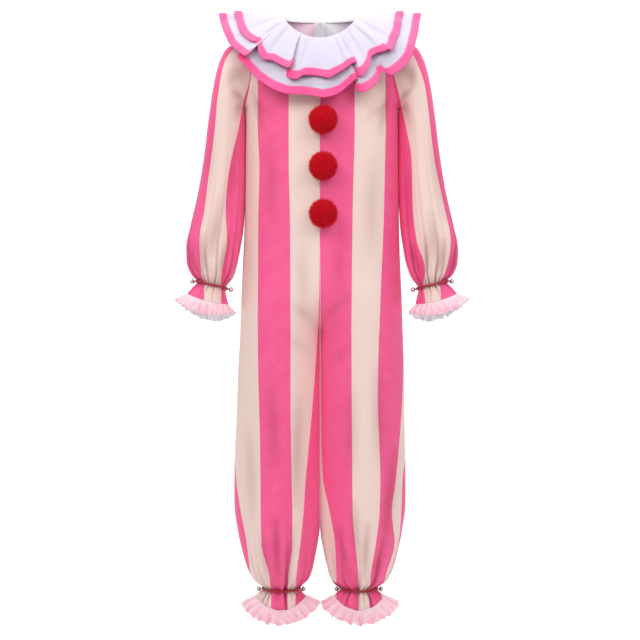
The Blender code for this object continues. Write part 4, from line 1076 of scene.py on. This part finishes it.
class COSTUME_OT_collar(bpy.types.Operator):
    """Build the two layers of the collar, the ribbons round their edges, and the neck binding."""

    bl_idname = "costume.collar"
    bl_label = "Collar"

    def execute(self, context):
        for layer in COLLAR_LAYERS:
            points = collar_grid(layer, np.linspace(0, 1, 23))
            piece = grid_piece(f"collar_{layer}_cloth", points, ["white_taffeta"],
                               strip_uv(points, lengths(points[-1:], 1)), flip=True, wall=COLLAR_CLOTH)
            settle(piece, f"collar_{layer}")
            reach = np.linalg.norm(points[-1] - points[0], axis=-1).mean()
            fine = collar_grid(layer, np.linspace(1 - COLLAR_BAND_WIDTH / reach, 1, 12))
            normals = upward(-grid_normals(fine))
            tip = fine[-1:] + (fine[-1:] - fine[-2:-1]) * 0.5 - normals[-1:] * RIBBON_TIP
            over, under = fine + normals * RIBBON_OVER, fine - normals * RIBBON_UNDER
            wrapped = np.concatenate([over, tip, under[::-1]])
            walked = lengths(fine[-1:], 1)
            ribbon = grid_piece(f"collar_{layer}_ribbon", wrapped, ["grosgrain_ribbon"],
                                strip_uv(wrapped, walked), flip=True)
            settle(ribbon, f"collar_{layer}_band")
        slit = COLLAR_SLIT_HALF / NECK_HALF_WIDTH
        turns = np.linspace(slit - pi, pi - slit, 260)
        edge = neck_point(turns)
        away = stack(np.sin(turns), -np.cos(turns), 0 * turns)
        # The strip's section: up inside the neck, half round over its edge, and down outside
        bend = [(-0.0012 - 0.0012 * np.cos(a), 0.0022 + 0.0012 * np.sin(a)) for a in np.linspace(0, pi, 9)]
        section = [(-0.0027, -0.0050), *bend, (0.0004, 0.0008)]
        rings = np.stack([edge + away * x + np.array((0, 0, z)) for x, z in section])
        walked = lengths(edge[None], 1)
        binding = grid_piece("neck_binding_tape", rings, ["polyester_tape"], strip_uv(rings, walked))
        settle(binding, "neck_binding")
        return {"FINISHED"}


class COSTUME_OT_cords(bpy.types.Operator):
    """Build the four twisted cords and the bells beside them."""

    bl_idname = "costume.cords"
    bl_label = "Cords and bells"

    def execute(self, context):
        radius = context.scene.costume_sizes.cord
        for place in ("ankle", "wrist"):
            for side, word in SIDES:
                path = cord_path(side, place)
                points, walked, around = tube(path, radius, 20, twist=2 * pi / CORD_TURN, strands=3)
                share = around / (2 * pi)
                uv = np.stack([(walked + CORD_TURN * share) / CORD_UNIT, share], axis=-1)
                uv = np.concatenate([uv, uv[:, :1] + (CORD_TURN / CORD_UNIT, 1.0)], axis=1)
                cord = grid_piece(f"cord_{place}_{word}_twist", np.concatenate([points, points[:1]]),
                                  ["rayon_cord"], np.concatenate([uv, uv[-1:]]), wrap=True, flip=True)
                settle(cord, f"cord_{place}_{word}")
                for end in ("outer", "inner"):
                    low, high = (np.array(corner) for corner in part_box(f"bell_{place}_{word}_{end}"))
                    centre = (low + high) / 2
                    centre[0] += np.sign(path[:, 0].mean() - centre[0]) * BELL_IN
                    centre[2] -= BELL_DROP if place == "wrist" else 0
                    bell = make_bell(f"bell_{place}_{word}_{end}_metal", centre, (high - low).max() / 2)
                    settle(bell, f"bell_{place}_{word}_{end}")
        return {"FINISHED"}


def cord_path(side, place):
    """Ring of a cord, just outside the gathered cloth, as the solid cord runs."""
    turn = np.arange(260) / 260 * 2 * pi
    if place == "ankle":
        drop = np.float64(ANKLE_CORD_DROP)
        outer, inner, depth, crest = (float(smooth(BODY, column, drop))
                                      for column in ("outer", "inner", "depth", "gather"))
        off = crest + CORD_STAND_OFF
        return stack(side * ((outer + inner) / 2 + ((outer - inner) / 2 + off) * np.sin(turn)),
                     -(depth + off) * np.cos(turn), -ANKLE_CORD_DROP)
    ring = WRIST_CORD_RING + 0 * turn
    swell = smooth(SLEEVE, "gather", ring, key="ring") * (1 + np.cos(SLEEVE_GATHERS * turn))
    return sleeve_point(side, turn, ring, swell + CORD_STAND_OFF, uneven=False)


def make_bell(name, centre, radius):
    """A jingle bell: a ball with a raised belt and a slot across its lower half, and a loop on top.

    The radius is R (0.94 (1 + 0.06 exp(-(z / 0.12 R)^2)) - 0.35 s), where s is the slot's share,
    exp(-(x / 0.1 R)^4), over the lower part.
    """
    rings, around, loop_turns, loop_sides = 29, 36, 16, 8
    ball = ball_grid(rings, around)
    slot = np.exp(-((ball[..., 0] / 0.10) ** 4)) * (ball[..., 2] < -0.2)
    size = 0.94 * (1 + 0.06 * np.exp(-((ball[..., 2] / 0.12) ** 2))) - 0.35 * slot
    points = centre + ball * (size * radius)[..., None]
    ring = np.linspace(0, 2 * pi, loop_turns + 1)[:-1]
    path = centre + stack(0.30 * radius * np.cos(ring), 0 * ring, radius * 1.0 + 0.30 * radius * np.sin(ring))
    loop = tube(path, 0.10 * radius, loop_sides)[0]
    loop_faces = grid_faces(loop_turns + 1, loop_sides, wrap=True, flip=True) % (loop_turns * loop_sides)
    faces = np.concatenate([grid_faces(rings, around, wrap=True, flip=True), loop_faces + rings * around])
    points = np.concatenate([points.reshape(-1, 3), loop.reshape(-1, 3)])
    return add_piece(name, points, faces, ["nickel_plate"])


class COSTUME_OT_pompoms(bpy.types.Operator):
    """Build the three fur pompoms, each a core with thousands of three-sided fibres."""

    bl_idname = "costume.pompoms"
    bl_label = "Pompoms"

    def execute(self, context):
        sizes = context.scene.costume_sizes
        for seed, word in enumerate(("top", "middle", "bottom")):
            low, high = (np.array(corner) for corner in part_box(f"pompom_{word}"))
            centre = np.array(((low[0] + high[0]) / 2, high[1] - POMPOM_SINK, (low[2] + high[2]) / 2))
            points, faces = pompom(centre, sizes.pompom, sizes.fibres, seed)
            piece = add_piece(f"pompom_{word}_fur", points, faces, ["acrylic_fur"])
            settle(piece, f"pompom_{word}")
        return {"FINISHED"}


def pompom(centre, radius, count, seed):
    """Fibres spread evenly over a ball by the golden angle, each a thin three-sided spike.

    Each fibre runs from 0.76 R to its own length near R, its way leaning a little at random.
    The back is trimmed flat where the ball rests on the cloth.
    """
    chance = np.random.default_rng(seed + 40)
    k = np.arange(count)
    height = 1 - (2 * k + 1) / count
    angle = k * pi * (3 - 5**0.5)
    flat = np.sqrt(1 - height**2)
    way = stack(flat * np.cos(angle), height, flat * np.sin(angle))
    way = unit(way + chance.normal(0, 0.07, way.shape))
    lean = unit(way + chance.normal(0, 0.10, way.shape))
    long = radius * (0.90 + 0.19 * chance.uniform(0, 1, count) ** 3)
    root, tip = centre + way * radius * 0.76, centre + lean * long[:, None]
    side = unit(np.cross(way, chance.normal(0, 1, way.shape)))
    other = np.cross(way, side)
    turns = np.array((0, 2 * pi / 3, 4 * pi / 3))[:, None]
    ring = side[:, None] * np.cos(turns) + other[:, None] * np.sin(turns)
    base = root[:, None] + ring * FIBRE_RADIUS
    middle = (root * 0.35 + tip * 0.65)[:, None] + ring * FIBRE_RADIUS * 0.8
    points = np.concatenate([base, middle, tip[:, None]], axis=1)
    faces = many([(0, 1, 4), (0, 4, 3), (1, 2, 5), (1, 5, 4), (2, 0, 3), (2, 3, 5),
                  (3, 4, 6), (4, 5, 6), (5, 3, 6)], count, 7)
    core = centre + ball_grid(25, 40) * radius * 0.82
    quads = grid_faces(25, 40, wrap=True, flip=True) + count * 7
    points = np.concatenate([points.reshape(-1, 3), core.reshape(-1, 3)])
    points[:, 1] = np.minimum(points[:, 1], centre[1] + POMPOM_BACK)
    return points, np.concatenate([faces, quads[:, (0, 1, 2)], quads[:, (0, 2, 3)]])


class COSTUME_OT_zip(bpy.types.Operator):
    """Build the zip's tapes inside the centre back and its teeth, and plate its slider and tab."""

    bl_idname = "costume.zip"
    bl_label = "Zip"

    def execute(self, context):
        upper = upper_point(1, 1, 0.0, np.linspace(NECK_ROW, 1, 40)[:-1])
        lower = leg_point(1, 1, 0.0, np.linspace(CHEST_DROP, TAPE_FOOT_DROP, 50))
        line = np.concatenate([upper, lower]) * (0, 1, 1)
        down = unit(np.gradient(line, axis=0))
        inward = unit(np.cross(down, stack(1.0, 0, 0)))
        inward = inward * np.sign(-inward[:, 1:2])
        width = np.linspace(*TAPE_EDGES, 9)
        panel = panel_grid(1, 1)[0]
        panel = panel[panel[:, 0, 0] < 0.001]
        depth = []
        for x in width:
            z, y = (np.array([np.interp(x, row[:, 0], row[:, k]) for row in panel]) for k in (2, 1))
            depth.append(np.interp(-line[:, 2], -z, y))
        for side, word in SIDES:
            tape = stack(side * width, np.array(depth).T, line[:, 2:]) + inward[:, None] * (CLOTH + 0.0012)
            piece = grid_piece(f"zip_tape_{word}_cloth", tape, ["polyester_tape"], strip_uv(tape, width),
                               flip=side < 0, wall=TAPE_CLOTH)
            settle(piece, f"zip_tape_{word}")
        far = lengths(line[:, None], 0)[:, 0]
        at = np.arange(0.003, far[-1] - 0.002, TOOTH_STEP)
        middle, normal, down = (read_along(values, far, at) for values in (line, inward, down))
        points, faces = teeth(middle + normal * (CLOTH + 0.0022), normal, down)
        piece = add_piece("zip_teeth", points, faces, ["sewing_thread"], smooth_shade=False)
        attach(piece, GARMENT)
        for name in ("zip_slider", "zip_pull"):
            bpy.data.objects[name].material_slots[0].material = material("nickel_plate")
        return {"FINISHED"}


def teeth(middle, normal, down):
    """Boxes of a coil zip's teeth, one for each point, by turns a little left and right."""
    sign = np.where(np.arange(len(middle)) % 2, 1.0, -1.0)[:, None]
    across = np.broadcast_to(np.array((1.0, 0, 0)), middle.shape)
    centre = middle + across * sign * TOOTH_SHIFT
    corners = np.array([(x, y, z) for x in (-1, 1) for y in (-1, 1) for z in (-1, 1)]) * TOOTH_HALF
    ways = enumerate((across, normal, down))
    points = centre[:, None] + sum(way[:, None] * corners[:, k, None] for k, way in ways)
    faces = many([(0, 1, 3, 2), (4, 6, 7, 5), (0, 4, 5, 1), (2, 3, 7, 6), (0, 2, 6, 4), (1, 5, 7, 3)],
                 len(middle), 8)
    return points.reshape(-1, 3), faces


class COSTUME_OT_sewing(bpy.types.Operator):
    """Build the stitches, rows of short threads just off the ribbons and the frill seams."""

    bl_idname = "costume.sewing"
    bl_label = "Sewing"

    def execute(self, context):
        rows = []
        for layer in COLLAR_LAYERS:
            fine = collar_grid(layer, np.linspace(0.6, 1, 60))
            walked = np.linalg.norm(np.diff(fine, axis=0), axis=-1).sum(axis=0).mean()
            row = int(59 * (1 - (COLLAR_BAND_WIDTH - 0.002) / walked))
            rows.append((fine[row], upward(grid_normals(fine)[row]), 0.0011))
        for side, _ in SIDES:
            for place in ("ankle", "wrist"):
                grid = frill_grid(place, side)[0]
                out = grid[2] - grid[2].mean(axis=0)
                rows.append((grid[2], facing(grid_normals(grid, wrap=True)[2], out), 0.0003))
        points, faces, count = [], [], 0
        for path, normals, off in rows:
            made, sides = stitches(path + normals * off, normals)
            points.append(made)
            faces.append(sides + count)
            count += len(made)
        piece = add_piece("sewing_thread", np.concatenate(points), np.concatenate(faces), ["sewing_thread"],
                          smooth_shade=False)
        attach(piece, GARMENT)
        return {"FINISHED"}


def stitches(path, normals):
    """Short flat threads along a path: a diamond of six points for each, 3 mm in every 4 mm."""
    walked = lengths(path[:, None], 0)[:, 0]
    starts = np.arange(STITCH_STEP / 2, walked[-1] - STITCH_STEP, STITCH_STEP)
    first, last, middle = (read_along(path, walked, starts + STITCH_LENGTH * share) for share in (0, 1, 0.5))
    up = unit(read_along(normals, walked, starts + STITCH_LENGTH / 2))
    across = unit(np.cross(up, last - first)) * STITCH_HALF_WIDTH
    points = np.stack([first, last, middle + across, middle - across, middle + up * STITCH_OVER,
                       middle - up * STITCH_UNDER], axis=1)
    faces = many([(0, 2, 4), (2, 1, 4), (1, 3, 4), (3, 0, 4), (2, 0, 5), (1, 2, 5), (3, 1, 5), (0, 3, 5)],
                 len(starts), 6)
    return points.reshape(-1, 3), faces


class COSTUME_OT_stage(bpy.types.Operator):
    """Lay a pale paper sweep, hang soft lights and aim the camera at the costume."""

    bl_idname = "costume.stage"
    bl_label = "Stage"

    def execute(self, context):
        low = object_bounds()[0][2]
        sweep = np.linspace(0, 1, 40)
        bend = np.clip((sweep - 0.55) / 0.25, 0, 1) * pi / 2
        y = np.where(sweep < 0.55, -6 + 8.0 * sweep / 0.55, 2.0 + 1.4 * np.sin(bend))
        z = np.where(sweep < 0.55, 0, 1.4 * (1 - np.cos(bend))) + np.clip(sweep - 0.8, 0, 1) * 30
        x = np.linspace(-8, 8, 9)
        grid = stack(x[None], y[:, None], (z + low - FLOOR_BELOW)[:, None])
        paper = grid_piece("paper_sweep", grid, ["studio_paper"])
        paper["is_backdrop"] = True
        scene = context.scene
        for name, place, aim, size, power in (
            ("key", (-1.0, -1.8, 0.85), (0, 0, -0.25), 1.3, scene.costume_sizes.light),
            ("fill", (1.1, -1.8, 0.75), (0, 0, -0.25), 1.4, scene.costume_sizes.light * 0.80),
            ("back", (0.3, 1.6, 1.6), (0, 0, -0.4), 2.0, scene.costume_sizes.light * 0.4),
            ("wash", (0, 0.7, 1.9), (0, 3.4, 0.0), 3.0, scene.costume_sizes.light * 4.2),
        ):
            lamp = bpy.data.lights.new(name, "AREA")
            lamp.shape, lamp.size, lamp.energy = "SQUARE", size, power
            light = bpy.data.objects.new(name, lamp)
            way = np.array(aim) - np.array(place)
            light.location = place
            light.rotation_euler = look(way)
            scene.collection.objects.link(light)
        world = bpy.data.worlds.new("studio")
        world.use_nodes = True
        world.node_tree.nodes["Background"].inputs["Color"].default_value = (1.0, 1.0, 1.0, 1.0)
        world.node_tree.nodes["Background"].inputs["Strength"].default_value = 0.42
        scene.world = world
        scene.view_settings.view_transform = "Standard"
        lens = bpy.data.cameras.new("camera")
        lens.sensor_width = 36.0
        lens.angle = 2 * atan(PIXEL * FRAME_PIXELS / 2 / CAMERA_DISTANCE)
        camera = bpy.data.objects.new("camera", lens)
        camera.location = (0, -CAMERA_DISTANCE, CAMERA_HEIGHT)
        camera.rotation_euler = (pi / 2, 0, 0)
        scene.collection.objects.link(camera)
        scene.camera = camera
        return {"FINISHED"}


def look(way):
    """Turn that aims a light's -Z axis along a direction."""
    flat = np.hypot(way[0], way[1])
    return (float(np.arctan2(flat, -way[2])), 0.0, float(np.arctan2(-way[0], way[1])))


class COSTUME_PT_panel(bpy.types.Panel):
    """Lists the costume's settings and the operators that build it."""

    bl_idname = "COSTUME_PT_panel"
    bl_label = "Clown costume"
    bl_space_type = "VIEW_3D"
    bl_region_type = "UI"
    bl_category = "Costume"

    def draw(self, context):
        """Show each setting, and a button for each piece."""
        for group in (context.scene.costume_colours, context.scene.costume_sizes):
            for name in group.__annotations__:
                self.layout.prop(group, name)
        for step in STEPS:
            self.layout.operator(step.bl_idname)


STEPS = (
    COSTUME_OT_panels, COSTUME_OT_sleeves, COSTUME_OT_frills, COSTUME_OT_collar,
    COSTUME_OT_cords, COSTUME_OT_pompoms, COSTUME_OT_zip, COSTUME_OT_sewing, COSTUME_OT_stage,
)
CLASSES = (CostumeColours, CostumeSizes, *STEPS, COSTUME_PT_panel)


def register():
    """Register the classes and hang the settings on the scene."""
    for item in CLASSES:
        bpy.utils.register_class(item)
    bpy.types.Scene.costume_colours = bpy.props.PointerProperty(type=CostumeColours)
    bpy.types.Scene.costume_sizes = bpy.props.PointerProperty(type=CostumeSizes)


def unregister():
    """Take the settings off the scene and unregister the classes."""
    del bpy.types.Scene.costume_colours
    del bpy.types.Scene.costume_sizes
    for item in reversed(CLASSES):
        bpy.utils.unregister_class(item)


def main():
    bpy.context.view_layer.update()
    register()
    for step in STEPS:
        getattr(bpy.ops.costume, step.bl_idname.split(".")[1])()
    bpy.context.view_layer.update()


if __name__ == "__main__":
    main()
